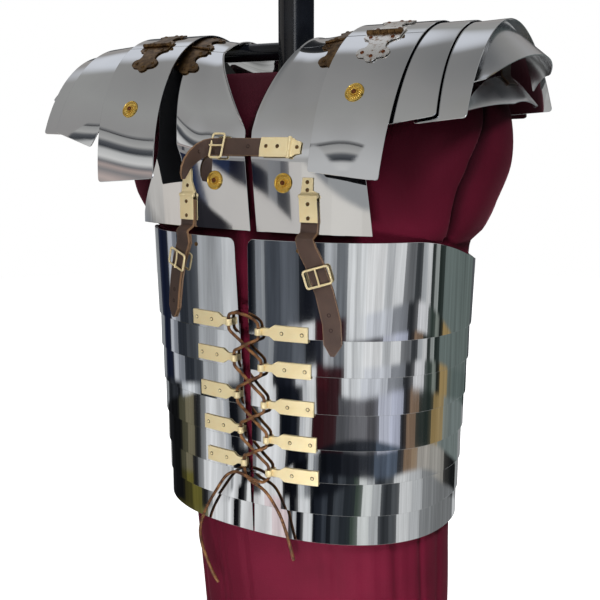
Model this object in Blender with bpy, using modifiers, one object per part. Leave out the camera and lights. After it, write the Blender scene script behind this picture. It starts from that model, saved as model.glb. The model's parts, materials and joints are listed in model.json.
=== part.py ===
"""Segmented plate cuirass on a torso form.

Bright steel plates, brass ties, hinges and rosettes, leather straps and a leather
lace, worn by a cloth-covered torso form under a black pole with a crossbar.
Metres, +Z up. The origin is the middle of the form's flat underside, the front
faces -Y, and "left" is the wearer's left, at +X.
"""
import math

import bmesh
import bpy
from mathutils import Matrix, Vector

# Overall heights
HEM_Z = 0.150            # lower edge of the lowest girdle hoop
GIRDLE_H = 0.3215        # height of the girdle at the front
COLLAR_CREST_Z = 0.6804  # underside of the collar plates over the crossbar
GUARD_CREST_Z = 0.6913   # underside of the shoulder guards at their highest
POLE_TOP_Z = 0.752

# Sheet and gaps
STEEL = 0.0012
BRASS = 0.0012
LEATHER = 0.0024
CLEAR = 0.0003           # air between pieces that touch

# Girdle: one superellipse in plan, tapering downwards
GIRDLE_TOP_A, GIRDLE_TOP_B = 0.190, 0.138
GIRDLE_HEM_A, GIRDLE_HEM_B = 0.172, 0.1242
GIRDLE_POWER = 2.3
HOOP_SHOWN = (0.1000, 0.0385, 0.0400, 0.0385, 0.0365, 0.0355, 0.0325)
HOOP_LAP = 0.010         # how far each hoop runs up behind the one above
HOOP_FLARE = 0.0021      # how far a hoop's lower edge stands out from its top edge
HOOP_COLUMNS = 22
LACING_X_TOP, LACING_X_HEM = 0.0025, 0.0080   # the front opening runs a little aslant
LACING_GAP_TOP, LACING_GAP_HEM = 0.0165, 0.0012
BACK_GAP = 0.0010
CORNER_R = 0.008         # rounded top corners at the opening
ARMPIT_CUT = 0.030       # the top hoop is cut lower under the arms
ARMPIT_MID, ARMPIT_SPAN = math.radians(112), math.radians(46)

# Shoulder arch: its slope grows from level at the crest towards upright
ARCH_Y = 0.005
ARCH_EASE = 0.130        # distance along the arch in which the slope mostly turns

# Collar: breastplates and backplates
COLLAR_SCALE = 0.88      # the collar follows the guards' arch, smaller
COLLAR_PLAN_A = {1: 0.220, -1: 0.262}    # half width of the chest curve in plan
COLLAR_RISE = 0.0071     # the collar is this much higher at its outer edge
COLLAR_SPLIT = 0.048     # distance in front of the crest where the breastplate starts
COLLAR_CREASE = 0.182    # distance from the crest to the crease across the chest
COLLAR_BOTTOM_Z = 0.4780
COLLAR_BOTTOM_OUT = 0.010
COLLAR_OUTER_TOP = 0.128
COLLAR_OUTER_BOTTOM = {1: 0.130, -1: 0.170}      # the wearer's right plates hang wider
NECK_HALF = {1: 0.045, -1: 0.053}
CHEST_GAP = 0.004        # half the gap between the two breastplates
NECK_LOW_Z = 0.580       # foot of the open neck at the front
NECK_BACK = 0.080        # distance behind the crest where the back neckline runs
POLE_X = -0.020          # the pole stands off the middle, to the wearer's right
SHOULDER_X = -0.016      # and so do the guards
NECK_X = -0.034          # the neck opening more so
CREASE_X = -0.008        # and the plates swing back
BOTTOM_X = 0.010         # to the left at their lower edge

# Stand
POLE_R = 0.020
BAR_R = 0.010
BAR_Z = 0.670
BAR_HALF = 0.105
FORM_TOP_Z = 0.644

# Fittings
TIE_LENGTH, TIE_HEIGHT, TIE_NECK = 0.037, 0.016, 0.008
TIE_LIFT = {1: -0.0035, -1: 0.0030}
LOOP_X = {1: (0.0250, 0.0270, 0.0292, 0.0309, 0.0321),
          -1: (-0.0124, -0.0070, -0.0048, -0.0016, 0.0011)}
TIE_LOOP_R, TIE_LOOP_BORE, TIE_LOOP_H = 0.0036, 0.0024, 0.0070
LACE_R = 0.00175
STRAP_W = 0.020
CHEST_STRAP_W = 0.018

MODEL = "segmented_cuirass"
STEEL_PAINT = ("polished_steel", (0.78, 0.79, 0.80), 0.08, 1.0)
BRASS_PAINT = ("pale_brass", (0.80, 0.66, 0.36), 0.30, 1.0)
GOLD_PAINT = ("yellow_brass", (0.90, 0.62, 0.16), 0.28, 1.0)
AGED_PAINT = ("aged_brass", (0.52, 0.38, 0.22), 0.42, 1.0)
LEATHER_PAINT = ("strap_leather", (0.085, 0.050, 0.036), 0.60, 0.0)
LACE_PAINT = ("lace_leather", (0.16, 0.070, 0.030), 0.65, 0.0)
CLOTH_PAINT = ("burgundy_jersey", (0.110, 0.012, 0.026), 0.85, 0.0)
STAND_PAINT = ("black_paint", (0.012, 0.012, 0.014), 0.30, 0.0)


def clear_scene():
    for item in list(bpy.data.objects):
        bpy.data.objects.remove(item, do_unlink=True)


def collection(name):
    group = bpy.data.collections.new(name)
    bpy.context.scene.collection.children.link(group)
    return group


def finish(obj, paint):
    """Give an object its own material and smooth shading over soft angles."""
    label, colour, roughness, metallic = paint
    material = bpy.data.materials.new(f"{label}_{obj.name}")
    material.use_nodes = True
    shader = material.node_tree.nodes["Principled BSDF"]
    shader.inputs["Base Color"].default_value = (*colour, 1.0)
    shader.inputs["Roughness"].default_value = roughness
    shader.inputs["Metallic"].default_value = metallic
    obj.data.materials.clear()
    obj.data.materials.append(material)
    obj.data.shade_smooth()
    obj.data.set_sharp_from_angle(angle=math.radians(35))


def mesh_object(name, bm, group):
    mesh = bpy.data.meshes.new(name)
    bm.to_mesh(mesh)
    bm.free()
    obj = bpy.data.objects.new(name, mesh)
    group.objects.link(obj)
    return obj


def sheet(name, columns, rows, place, thickness, inside, paint, group):
    """A curved plate: a grid laid out by place(u, v), thickened away from inside.

    columns and rows are rising fractions from 0 to 1, one for each grid line.
    """
    bm = bmesh.new()
    bmesh.ops.create_grid(bm, x_segments=len(columns) - 1, y_segments=len(rows) - 1, size=0.5)
    for vert in bm.verts:
        column = round((vert.co.x + 0.5) * (len(columns) - 1))
        row = round((vert.co.y + 0.5) * (len(rows) - 1))
        vert.co = place(columns[column], rows[row])
    bm.normal_update()
    outward = sum(face.normal.dot(face.calc_center_median() - inside) for face in bm.faces)
    if outward < 0:
        bmesh.ops.reverse_faces(bm, faces=bm.faces)
    obj = mesh_object(name, bm, group)
    finish(obj, paint)
    wall = obj.modifiers.new("wall", "SOLIDIFY")
    wall.thickness = thickness
    wall.offset = 1.0
    wall.use_even_offset = True
    return obj


def steps(count):
    return [i / count for i in range(count + 1)]


def smooth(t):
    t = min(max(t, 0.0), 1.0)
    return t * t * (3 - 2 * t)


def join_solids(base, others):
    """Fuse solids into base with exact unions, then drop the others."""
    for other in others:
        union = base.modifiers.new("union", "BOOLEAN")
        union.operation = "UNION"
        union.solver = "EXACT"
        union.object = other
    bpy.context.view_layer.update()
    evaluated = base.evaluated_get(bpy.context.evaluated_depsgraph_get())
    mesh = bpy.data.meshes.new_from_object(evaluated)
    material = base.data.materials[0]
    base.modifiers.clear()
    base.data = mesh
    base.data.materials.clear()
    base.data.materials.append(material)
    for other in others:
        bpy.data.objects.remove(other, do_unlink=True)
    return base


def cylinder(name, start, end, radius, sides, group, paint, bore=0.0):
    """A round bar from start to end, or a tube when it has a bore."""
    start, end = Vector(start), Vector(end)
    axis = end - start
    bm = bmesh.new()
    turn = axis.to_track_quat("Z", "Y").to_matrix().to_4x4()
    if bore:
        for size in (radius, bore):
            bmesh.ops.create_circle(bm, segments=sides, radius=size)
        bmesh.ops.bridge_loops(bm, edges=list(bm.edges))
        faces = list(bm.faces)
        raised = bmesh.ops.extrude_face_region(bm, geom=faces, use_keep_orig=True)["geom"]
        top = [item for item in raised if isinstance(item, bmesh.types.BMVert)]
        bmesh.ops.translate(bm, verts=top, vec=(0, 0, axis.length))
        bmesh.ops.translate(bm, verts=bm.verts, vec=(0, 0, -axis.length / 2))
        bmesh.ops.recalc_face_normals(bm, faces=bm.faces)
    else:
        bmesh.ops.create_cone(bm, cap_ends=True, segments=sides, radius1=radius,
                              radius2=radius, depth=axis.length)
    bmesh.ops.transform(bm, matrix=Matrix.Translation((start + end) / 2) @ turn, verts=bm.verts)
    obj = mesh_object(name, bm, group)
    finish(obj, paint)
    return obj


# Girdle

def ring_point(phi, half_a, half_b):
    """Plan point of a superellipse at the bearing phi, 0 at the front, + to the left."""
    side, ahead = math.sin(phi), math.cos(phi)
    power = GIRDLE_POWER
    reach = (abs(side / half_a) ** power + abs(ahead / half_b) ** power) ** (-1 / power)
    return reach * side, -reach * ahead


def girdle_size(z):
    part = (z - HEM_Z) / GIRDLE_H
    half_a = GIRDLE_HEM_A + (GIRDLE_TOP_A - GIRDLE_HEM_A) * part
    half_b = GIRDLE_HEM_B + (GIRDLE_TOP_B - GIRDLE_HEM_B) * part
    return half_a, half_b


def hoop_levels():
    """Lower edge and upper edge of each hoop, the top hoop first."""
    levels = []
    top = HEM_Z + GIRDLE_H
    for number, shown in enumerate(HOOP_SHOWN):
        lap = HOOP_LAP if number else 0.0
        levels.append((top - shown, top + lap))
        top -= shown
    return levels


def hoop_offset(number, z):
    low, high = hoop_levels()[number]
    return HOOP_FLARE * (high - z) / (high - low)


def girdle_point(phi, z, number, out=0.0):
    """A point on the inner face of a hoop, moved out from it."""
    half_a, half_b = girdle_size(z)
    out += hoop_offset(number, z)
    x, y = ring_point(phi, half_a + out, half_b + out)
    return Vector((x, y, z))


def front_bearing(x, z, number, out=0.0):
    """Bearing of the hoop's point that has a given x, near the front."""
    phi = 0.0
    for _ in range(12):
        point = girdle_point(phi, z, number, out)
        phi += (x - point.x) / -point.y
    return phi


def lacing_edge(z, side):
    """x of a half hoop's front edge."""
    part = (z - HEM_Z) / GIRDLE_H
    middle = LACING_X_HEM + (LACING_X_TOP - LACING_X_HEM) * part
    gap = LACING_GAP_HEM + (LACING_GAP_TOP - LACING_GAP_HEM) * part
    return middle + side * gap / 2


def make_hoop(number, side, label, group):
    low, high = hoop_levels()[number]
    inner_columns = [0.012, 0.03] if number == 0 else []
    columns = sorted([0.0] + inner_columns + steps(HOOP_COLUMNS)[1:])

    def place(u, v):
        z = low + (high - low) * v
        start = front_bearing(lacing_edge(z, side), z, number)
        end = side * (math.pi - BACK_GAP / 2 / GIRDLE_HEM_B)
        phi = start + (end - start) * u
        if number == 0 and v > 0.5:
            bearing = abs(phi)
            near = 1 - abs(bearing - ARMPIT_MID) / ARMPIT_SPAN
            z -= ARMPIT_CUT * smooth(near)
            along = abs(phi - start) * GIRDLE_TOP_B
            if along < CORNER_R:
                z -= CORNER_R - math.sqrt(CORNER_R ** 2 - (CORNER_R - along) ** 2)
        return girdle_point(phi, z, number)

    sheet(f"girdle_hoop_{number + 1}_{label}", columns, steps(1), place, STEEL,
          Vector((0, 0, (low + high) / 2)), STEEL_PAINT, group)


def tie_height(number, side):
    """Middle height of a tie, near its hoop's lower edge."""
    return hoop_levels()[number][0] + TIE_HEIGHT / 2 + TIE_LIFT[side]


def loop_x(number, side):
    """The lacing runs aslant: the ties' loops shift to the left towards the hem."""
    return LOOP_X[side][number]


def loop_centre(number, side):
    z = tie_height(number, side)
    x = loop_x(number, side)
    out = STEEL + CLEAR + TIE_LOOP_R
    phi = front_bearing(x, z, number, out)
    return girdle_point(phi, z, number, out + 0.0004)


def make_tie(number, side, label, group):
    """A riveted brass plate with a tapered neck that ends in an upright loop."""
    z_mid = tie_height(number, side)
    inner = loop_x(number, side)
    neck_end, shoulder = 0.012, 0.017
    stations = ((0.0015, TIE_NECK), (neck_end, TIE_NECK), (shoulder, TIE_HEIGHT),
                (shoulder + TIE_LENGTH / 2, TIE_HEIGHT), (shoulder + TIE_LENGTH, TIE_HEIGHT))

    def place(u, v):
        along, height = stations[round(u * (len(stations) - 1))]
        z = z_mid + height * (v - 0.5)
        x = inner + side * along
        phi = front_bearing(x, z, number, STEEL + 2 * CLEAR)
        return girdle_point(phi, z, number, STEEL + 2 * CLEAR)

    name = f"tie_{number + 1}_{label}"
    plate = sheet(name, steps(len(stations) - 1), steps(1), place, BRASS,
                  Vector((0, 0, z_mid)), BRASS_PAINT, group)
    centre = loop_centre(number, side)
    half = Vector((0, 0, TIE_LOOP_H / 2))
    loop = cylinder(name + "_loop", centre - half, centre + half, TIE_LOOP_R, 12, group,
                    BRASS_PAINT, bore=TIE_LOOP_BORE)
    join_solids(plate, [loop])


# Shoulder arch

def arch(distance):
    """Reach outwards and drop at a distance along the shoulder arch from its crest."""
    parts = 24
    reach = drop = 0.0
    for i in range(parts):
        s = distance * (i + 0.5) / parts
        slope = math.pi / 2 * (1 - math.exp(-s / ARCH_EASE))
        reach += math.cos(slope) * distance / parts
        drop += math.sin(slope) * distance / parts
    return reach, drop


def lean(z):
    """Sideways swing of the collar plates at a height."""
    crease_z, neck_z = 0.580, 0.665
    if z < crease_z:
        part = (z - COLLAR_BOTTOM_Z) / (crease_z - COLLAR_BOTTOM_Z)
        return BOTTOM_X + (CREASE_X - BOTTOM_X) * part
    part = min((z - crease_z) / (neck_z - crease_z), 1.0)
    return CREASE_X + (NECK_X - CREASE_X) * part


def collar_point(x, s, out=0.0):
    """Point of the collar's inner face, x from the middle, s from the crest.

    s runs along the arch, negative in front; past the crease it runs straight
    down to the plates' lower edge, which is reached at COLLAR_CREASE + 1.
    """
    sign = -1 if s < 0 else 1
    size = abs(s)
    half = COLLAR_PLAN_A[1 if x > 0 else -1]
    plan = (1 - (min(abs(x), 0.2) / half) ** 2.3) ** (1 / 2.3)
    crest = COLLAR_CREST_Z + COLLAR_RISE * smooth((abs(x) - 0.055) / 0.065)
    reach, drop = arch(min(size, COLLAR_CREASE) / COLLAR_SCALE)
    reach *= COLLAR_SCALE
    drop *= COLLAR_SCALE
    z = crest - drop
    slope = arch_slope(min(size, COLLAR_CREASE) / COLLAR_SCALE)
    if size > COLLAR_CREASE:
        part = size - COLLAR_CREASE
        z += (COLLAR_BOTTOM_Z - z) * part
        reach += COLLAR_BOTTOM_OUT * part
        slope = math.pi / 2
    y = ARCH_Y + sign * (reach * plan + out * math.sin(slope))
    z += out * math.cos(slope)
    return Vector((x + lean(z), y, z))


def neck_edge(s, side):
    """Distance of the collar's inner edge from the middle, s from the crest."""
    half = NECK_HALF[side]
    if s < 0:
        z = collar_point(0.03, s).z
        part = (z - NECK_LOW_Z) / (0.665 - NECK_LOW_Z)
        return CHEST_GAP + (half - CHEST_GAP) * min(max(part, 0.0), 1.0) ** 1.15
    part = min(s / NECK_BACK, 1.0)
    return BACK_GAP / 2 + (half - BACK_GAP / 2) * math.sqrt(max(1 - part ** 3, 0.0))


def outer_edge(s, side):
    part = smooth((abs(s) - 0.10) / (COLLAR_CREASE + 0.90))
    return COLLAR_OUTER_TOP + (COLLAR_OUTER_BOTTOM[side] - COLLAR_OUTER_TOP) * part


def make_collar_plate(name, stations, side, group):
    """A breastplate or backplate, between rows at the given stations."""

    def place(u, v):
        s = stations[round(v * (len(stations) - 1))]
        inner = neck_edge(s, side)
        x = inner + (outer_edge(s, side) - inner) * u
        point = collar_point(side * x, s)
        return point

    inside = Vector((side * 0.08, 0.0, 0.52))
    sheet(name, steps(8), steps(len(stations) - 1), place, STEEL, inside, STEEL_PAINT, group)


# Shoulder guards

# A guard's inner and outer edge on the wearer's left (1) and right (-1): distance from
# the middle at the crest and at the ends, crest height against the shoulder's, size of
# the arch, how steeply it drops, and how far it runs down in front and behind.
EDGE_COLUMNS = ("x", "x_end", "crest", "size", "drop", "front", "rear")
GUARD_EDGES = {
    "guard": {1: ((0.090, 0.098, 0.0000, 1.00, 1.0, 0.220, 0.200),
                  (0.178, 0.178, 0.0000, 1.00, 1.0, 0.227, 0.205)),
              -1: ((0.123, 0.098, 0.0000, 1.00, 1.0, 0.232, 0.200),
                   (0.211, 0.178, 0.0000, 1.00, 1.0, 0.238, 0.205))},
    "lesser_1": {1: ((0.158, 0.158, -0.0022, 0.94, 1.0, 0.169, 0.160),
                     (0.214, 0.224, -0.0018, 0.98, 1.0, 0.160, 0.160)),
                 -1: ((0.165, 0.206, -0.0022, 0.94, 1.0, 0.192, 0.170),
                      (0.272, 0.268, -0.0100, 0.98, 1.0, 0.168, 0.160))},
    "lesser_2": {1: ((0.196, 0.200, -0.0046, 0.92, 1.0, 0.162, 0.150),
                     (0.250, 0.254, -0.0022, 0.95, 1.0, 0.160, 0.150)),
                 -1: ((0.200, 0.215, -0.0068, 0.92, 1.0, 0.172, 0.155),
                      (0.300, 0.292, -0.0180, 0.96, 1.0, 0.160, 0.150))},
    "lesser_3": {1: ((0.238, 0.238, -0.0047, 0.86, 1.0, 0.122, 0.120),
                     (0.280, 0.262, -0.0380, 0.97, 0.45, 0.118, 0.085)),
                 -1: ((0.268, 0.262, -0.0164, 0.86, 1.0, 0.122, 0.120),
                      (0.322, 0.305, -0.0500, 0.95, 0.5, 0.105, 0.085))},
    "lesser_4": {1: ((0.241, 0.241, -0.0570, 0.80, 0.45, 0.135, 0.118),
                     (0.2646, 0.2646, -0.0820, 0.80, 0.53, 0.031, 0.035)),
                 -1: ((0.235, 0.235, -0.0420, 0.80, 1.0, 0.110, 0.110),
                      (0.285, 0.290, -0.0780, 0.80, 1.0, 0.060, 0.060))},
}
HINGE_AT = -0.055        # the hinge line of the guards, in front of the crest


def arch_slope(s):
    return math.pi / 2 * (1 - math.exp(-abs(s) / ARCH_EASE))


def guard_point(edge, s, side, out=0.0):
    """Point of a guard's inner face; edge holds one value for each edge column."""
    size = edge["size"]
    reach, drop = arch(abs(s) / size)
    slope = arch_slope(s / size)
    sign = -1 if s < 0 else 1
    run = edge["front"] if s < 0 else edge["rear"]
    share = min(abs(s) / run, 1.0) ** 2
    x = edge["x"] + (edge["x_end"] - edge["x"]) * share
    y = ARCH_Y + sign * (reach * size + out * math.sin(slope))
    z = GUARD_CREST_Z + edge["crest"] - drop * size * edge["drop"] + out * math.cos(slope)
    return Vector((side * x + SHOULDER_X, y, z))


def guard_edge(kind, side, u):
    """Values between a guard's inner edge, u = 0, and its outer one, u = 1."""
    inner, outer = GUARD_EDGES[kind][side]
    return {key: a + (b - a) * u for key, a, b in zip(EDGE_COLUMNS, inner, outer)}


def make_guard_strip(name, kind, side, stations, group):
    """A strip of a guard, with rows at shares of its front (-) and rear (+) runs."""

    def place(u, v):
        edge = guard_edge(kind, side, u)
        share = stations[round(v * (len(stations) - 1))]
        s = share * (edge["front"] if share < 0 else edge["rear"])
        if kind == "guard" and abs(share - HINGE_AT) < 2 * CLEAR:
            s = share
        return guard_point(edge, s, side)

    inside = Vector((side * 0.15 + SHOULDER_X, ARCH_Y, 0.56))
    sheet(name, steps(3), steps(len(stations) - 1), place, STEEL, inside, STEEL_PAINT, group)


def make_guards(side, label, group):
    front = [HINGE_AT - CLEAR] + [-0.25 - 0.75 * t for t in steps(9)][1:]
    make_guard_strip(f"guard_front_{label}", "guard", side, front, group)
    rear = [HINGE_AT + CLEAR, -0.16, -0.08, 0.0, 0.07, 0.15, 0.24, 0.35, 0.48, 0.61, 0.74, 0.87, 1.0]
    make_guard_strip(f"guard_rear_{label}", "guard", side, rear, group)
    whole = [-1.0, -0.85, -0.7, -0.55, -0.4, -0.28, -0.18, -0.09, 0.0]
    whole += [-share for share in reversed(whole[:-1])]
    for number in range(1, 5):
        make_guard_strip(f"lesser_guard_{number}_{label}", f"lesser_{number}", side, whole, group)


# The leather under the outermost guards: shares of the third guard's underside and of
# the fourth guard's outer face that it is riveted to
HANGER_W, HANGER_T = 0.022, 0.0018
HANGER_UPPER, HANGER_LOWER = (0.62, 0.46, 0.30), (0.10, 0.26, 0.42)


def make_hanger(side, label, group):
    """A leather strip at the crest that hangs the fourth guard from the third."""

    def upper(share, s):
        return guard_point(guard_edge("lesser_3", side, share), s, side, -2 * CLEAR)

    def lower(share, s):
        return guard_point(guard_edge("lesser_4", side, share), s, side, 1.4 * STEEL + 2 * CLEAR)

    def place(u, v):
        s = HANGER_W * (v - 0.5)
        top = [upper(share, s) for share in HANGER_UPPER]
        foot = [lower(share, s) for share in HANGER_LOWER]
        between = arc(top[-1], (top[-1] - top[-2]) * 1.6, foot[0], (foot[1] - foot[0]) * 3.0, 5)
        line = top + between + foot
        return line[round(u * (len(line) - 1))]

    count = len(HANGER_UPPER) + len(HANGER_LOWER) + 4
    inside = Vector((SHOULDER_X, ARCH_Y, 0.66))
    sheet(f"guard_hanger_{label}", steps(count - 1), steps(2), place, HANGER_T, inside,
          LEATHER_PAINT, group)


# Torso form and stand

FORM_SECTIONS = (
    # height, middle x, half width, half depth
    (0.000, 0.020, 0.151, 0.108),
    (0.060, 0.018, 0.152, 0.114),
    (0.150, 0.013, 0.155, 0.119),
    (0.300, 0.004, 0.173, 0.125),
    (0.400, 0.000, 0.184, 0.124),
    (0.4650, 0.000, 0.1865, 0.116),
    (0.4850, -0.008, 0.212, 0.110),
    (0.5100, -0.011, 0.233, 0.107),
    (0.5500, -0.008, 0.241, 0.104),
    (0.5950, 0.000, 0.233, 0.090),
    (0.6150, 0.000, 0.222, 0.076),
    (0.6320, -0.004, 0.190, 0.060),
    (FORM_TOP_Z, -0.010, 0.150, 0.046),
)


def make_form(group):
    bm = bmesh.new()
    rings = []
    count = 40
    for z, middle, half_a, half_b in FORM_SECTIONS:
        ring = []
        for i in range(count):
            x, y = ring_point(2 * math.pi * i / count, half_a, half_b)
            ring.append(bm.verts.new((middle + x, y, z)))
        rings.append(ring)
    for lower, upper in zip(rings, rings[1:]):
        for i in range(count):
            j = (i + 1) % count
            bm.faces.new((lower[i], lower[j], upper[j], upper[i]))
    bm.faces.new(list(reversed(rings[0])))
    bm.faces.new(rings[-1])
    bmesh.ops.recalc_face_normals(bm, faces=bm.faces)
    obj = mesh_object("torso_form", bm, group)
    finish(obj, CLOTH_PAINT)


def make_stand(group):
    x = POLE_X
    pole = cylinder("stand_pole", (x, 0, FORM_TOP_Z + CLEAR), (x, 0, POLE_TOP_Z), POLE_R, 24,
                    group, STAND_PAINT)
    bar = cylinder("bar", (x - BAR_HALF, 0.004, BAR_Z), (x + BAR_HALF, 0.004, BAR_Z), BAR_R, 16,
                   group, STAND_PAINT)
    join_solids(pole, [bar])


# Brass and leather fittings

def breast_point(x, z, out=STEEL + CLEAR):
    """A point over the front of the breastplates at a given x and height."""
    near, far = 0.06, COLLAR_CREASE + 1.2
    for _ in range(36):
        middle = (near + far) / 2
        if collar_point(x - lean(z), -middle).z > z:
            near = middle
        else:
            far = middle
    return collar_point(x - lean(z), -near, out)


def girdle_front(x, z, out=STEEL + CLEAR):
    """A point over the top hoop at a given x and height."""
    return girdle_point(front_bearing(x, z, 0, out), z, 0, out)


def over_front(x, z, out):
    """A point over the front, from the breastplates across the gap to the top hoop."""
    lip = HEM_Z + GIRDLE_H + 0.0015
    part = smooth((z - lip) / (COLLAR_BOTTOM_Z + 0.0015 - lip))
    if part == 0:
        return girdle_front(x, z, out)
    if part == 1:
        return breast_point(x, z, out)
    return girdle_front(x, z, out).lerp(breast_point(x, z, out), part)


def frame_at(point_at, x, z, out):
    """Place and turn of a small piece lying on a surface: Z points off it."""
    step = 0.002
    origin = point_at(x, z, out)
    across = (point_at(x + step, z, out) - point_at(x - step, z, out)).normalized()
    up = (point_at(x, z + step, out) - point_at(x, z - step, out)).normalized()
    off = across.cross(-up).normalized()
    if off.y > 0:
        off.negate()
    up = off.cross(across)
    matrix = Matrix((across, up, off)).transposed().to_4x4()
    matrix.translation = origin
    return matrix


def turned(name, profile, sides, matrix, group, paint):
    """A turned piece: a profile of radius and height, spun round its axis."""
    bm = bmesh.new()
    verts = [bm.verts.new((radius, 0, height)) for radius, height in profile]
    for a, b in zip(verts, verts[1:]):
        bm.edges.new((a, b))
    bmesh.ops.transform(bm, matrix=matrix, verts=bm.verts)
    axis = matrix.to_3x3() @ Vector((0, 0, 1))
    bmesh.ops.spin(bm, geom=list(bm.verts) + list(bm.edges), cent=matrix.translation,
                   axis=axis, angle=2 * math.pi, steps=sides, use_merge=True)
    bmesh.ops.remove_doubles(bm, verts=bm.verts, dist=1e-6)
    bmesh.ops.recalc_face_normals(bm, faces=bm.faces)
    obj = mesh_object(name, bm, group)
    finish(obj, paint)
    return obj


ROSETTE_PROFILE = ((0.0, -0.0007), (0.0100, -0.0007), (0.0100, 0.0010), (0.0085, 0.0020),
                   (0.0065, 0.0014), (0.0040, 0.0024), (0.0020, 0.0040), (0.0, 0.0044))
ROSETTE_BREAST = {1: (0.0423, 0.5285), -1: (-0.0453, 0.5290)}
ROSETTE_GUARD = {1: (0.46, -0.137), -1: (0.49, -0.152)}     # share across, distance


def make_rosettes(side, label, group):
    """Raised rosettes on the breastplate and on the front guard, fused to them."""
    x, z = ROSETTE_BREAST[side]
    place = frame_at(breast_point, x, z, STEEL)
    boss = turned("rosette", ROSETTE_PROFILE, 16, place, group, STEEL_PAINT)
    join_solids(bpy.data.objects[f"breastplate_{label}"], [boss])

    def over_guard(share, s, out):
        return guard_point(guard_edge("guard", side, share), s, side, out)

    share, s = ROSETTE_GUARD[side]
    place = frame_at(over_guard, share, s, STEEL)
    boss = turned("rosette", ROSETTE_PROFILE, 16, place, group, STEEL_PAINT)
    join_solids(bpy.data.objects[f"guard_front_{label}"], [boss])


HINGE_LEAF = (
    # distance from the hinge line, width of the leaf there
    (0.000, 0.041), (0.011, 0.039), (0.015, 0.030), (0.020, 0.021), (0.025, 0.023),
    (0.030, 0.038), (0.036, 0.038), (0.040, 0.022), (0.046, 0.012),
)


def make_hinge(name, over, line, pin, lift, group):
    """Two lobed leaves and their barrel, lifted a little more where the plate bows."""
    stations = [(line - d, w) for d, w in reversed(HINGE_LEAF)]
    stations += [(line + d, w) for d, w in HINGE_LEAF[1:]]

    def place(u, v):
        s, width = stations[round(v * (len(stations) - 1))]
        return over(width * (u - 0.5), s, STEEL + 2 * CLEAR)

    centre = over(0.0, line, 0.0)
    plate = sheet(name, steps(3), steps(len(stations) - 1), place, BRASS,
                  Vector((centre.x, 0.0, 0.6)), AGED_PAINT, group)
    half = HINGE_LEAF[0][1] / 2
    rise = STEEL + CLEAR + pin + lift
    barrel = cylinder(name + "_barrel", over(-half, line, rise), over(half, line, rise), pin,
                      10, group, AGED_PAINT)
    join_solids(plate, [barrel])


def make_hinges(side, label, group):

    def over_guard(x, s, out):
        return guard_point(guard_edge("guard", side, 0.51 + x / 0.088), s, side, out)

    def over_collar(x, s, out):
        return collar_point(side * (0.098 + x), s, out)

    make_hinge(f"hinge_guard_{label}", over_guard, HINGE_AT, 0.0024, 0.0004, group)
    make_hinge(f"hinge_collar_{label}", over_collar, -COLLAR_SPLIT + 0.0006, 0.0015, 0.0011,
               group)


def band(name, point_at, path, width, paint, thickness, group, level=9.0):
    """A strap or plate along a path of x, height, distance off, share of the width,
    and, where it leaves the surface, a shift. Above level it lies square across."""
    path = [(*station, Vector((0, 0, 0))) if len(station) == 4 else station for station in path]
    middles = [point_at(x, z, out) + shift for x, z, out, share, shift in path]
    across = []
    for i, (x, z, out, share, shift) in enumerate(path):
        along = middles[min(i + 1, len(path) - 1)] - middles[max(i - 1, 0)]
        frame = frame_at(point_at, x, z, out).to_3x3()
        turn = frame @ Vector((1, 0, 0))
        if z <= level:
            turn = (frame @ Vector((0, 0, 1))).cross(along).normalized()
        if across and turn.dot(across[-1]) < 0:
            turn.negate()
        across.append(turn)

    def place(u, v):
        i = round(u * (len(path) - 1))
        x, z, out, share, shift = path[i]
        aside = across[i] * width * share * (v - 0.5)
        return point_at(x + aside.x, z + aside.z, out) + shift

    inside = Vector((middles[1].x, 0.0, middles[1].z))
    return sheet(name, steps(len(path) - 1), steps(2), place, thickness, inside, paint, group)


# Where each girdle strap's fitting and strap lie: x and height, from the top down
FITTING_TOP = {1: (0.0705, 0.5345), -1: (-0.0850, 0.5410)}
FITTING_PIN = {1: (0.0735, 0.5160), -1: (-0.0825, 0.5125)}
FITTING_END = {1: (0.0765, 0.4900), -1: (-0.0805, 0.4860)}
STRAP_ROUTE = {
    1: ((0.0795, 0.4630), (0.0860, 0.4500), (0.0960, 0.4200), (0.1025, 0.3900),
        (0.1035, 0.3680)),
    -1: ((-0.0780, 0.4640), (-0.0900, 0.4400), (-0.0960, 0.4200), (-0.1000, 0.4000),
         (-0.1020, 0.3880)),
}
STRAP_TIP = {1: (0.1030, 0.3560), -1: (-0.1030, 0.3760)}
BUCKLE_TURN = {1: -73, -1: -107}
BUCKLE_AT = {1: (0.0905, 0.4370), -1: (-0.0885, 0.4430)}


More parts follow.
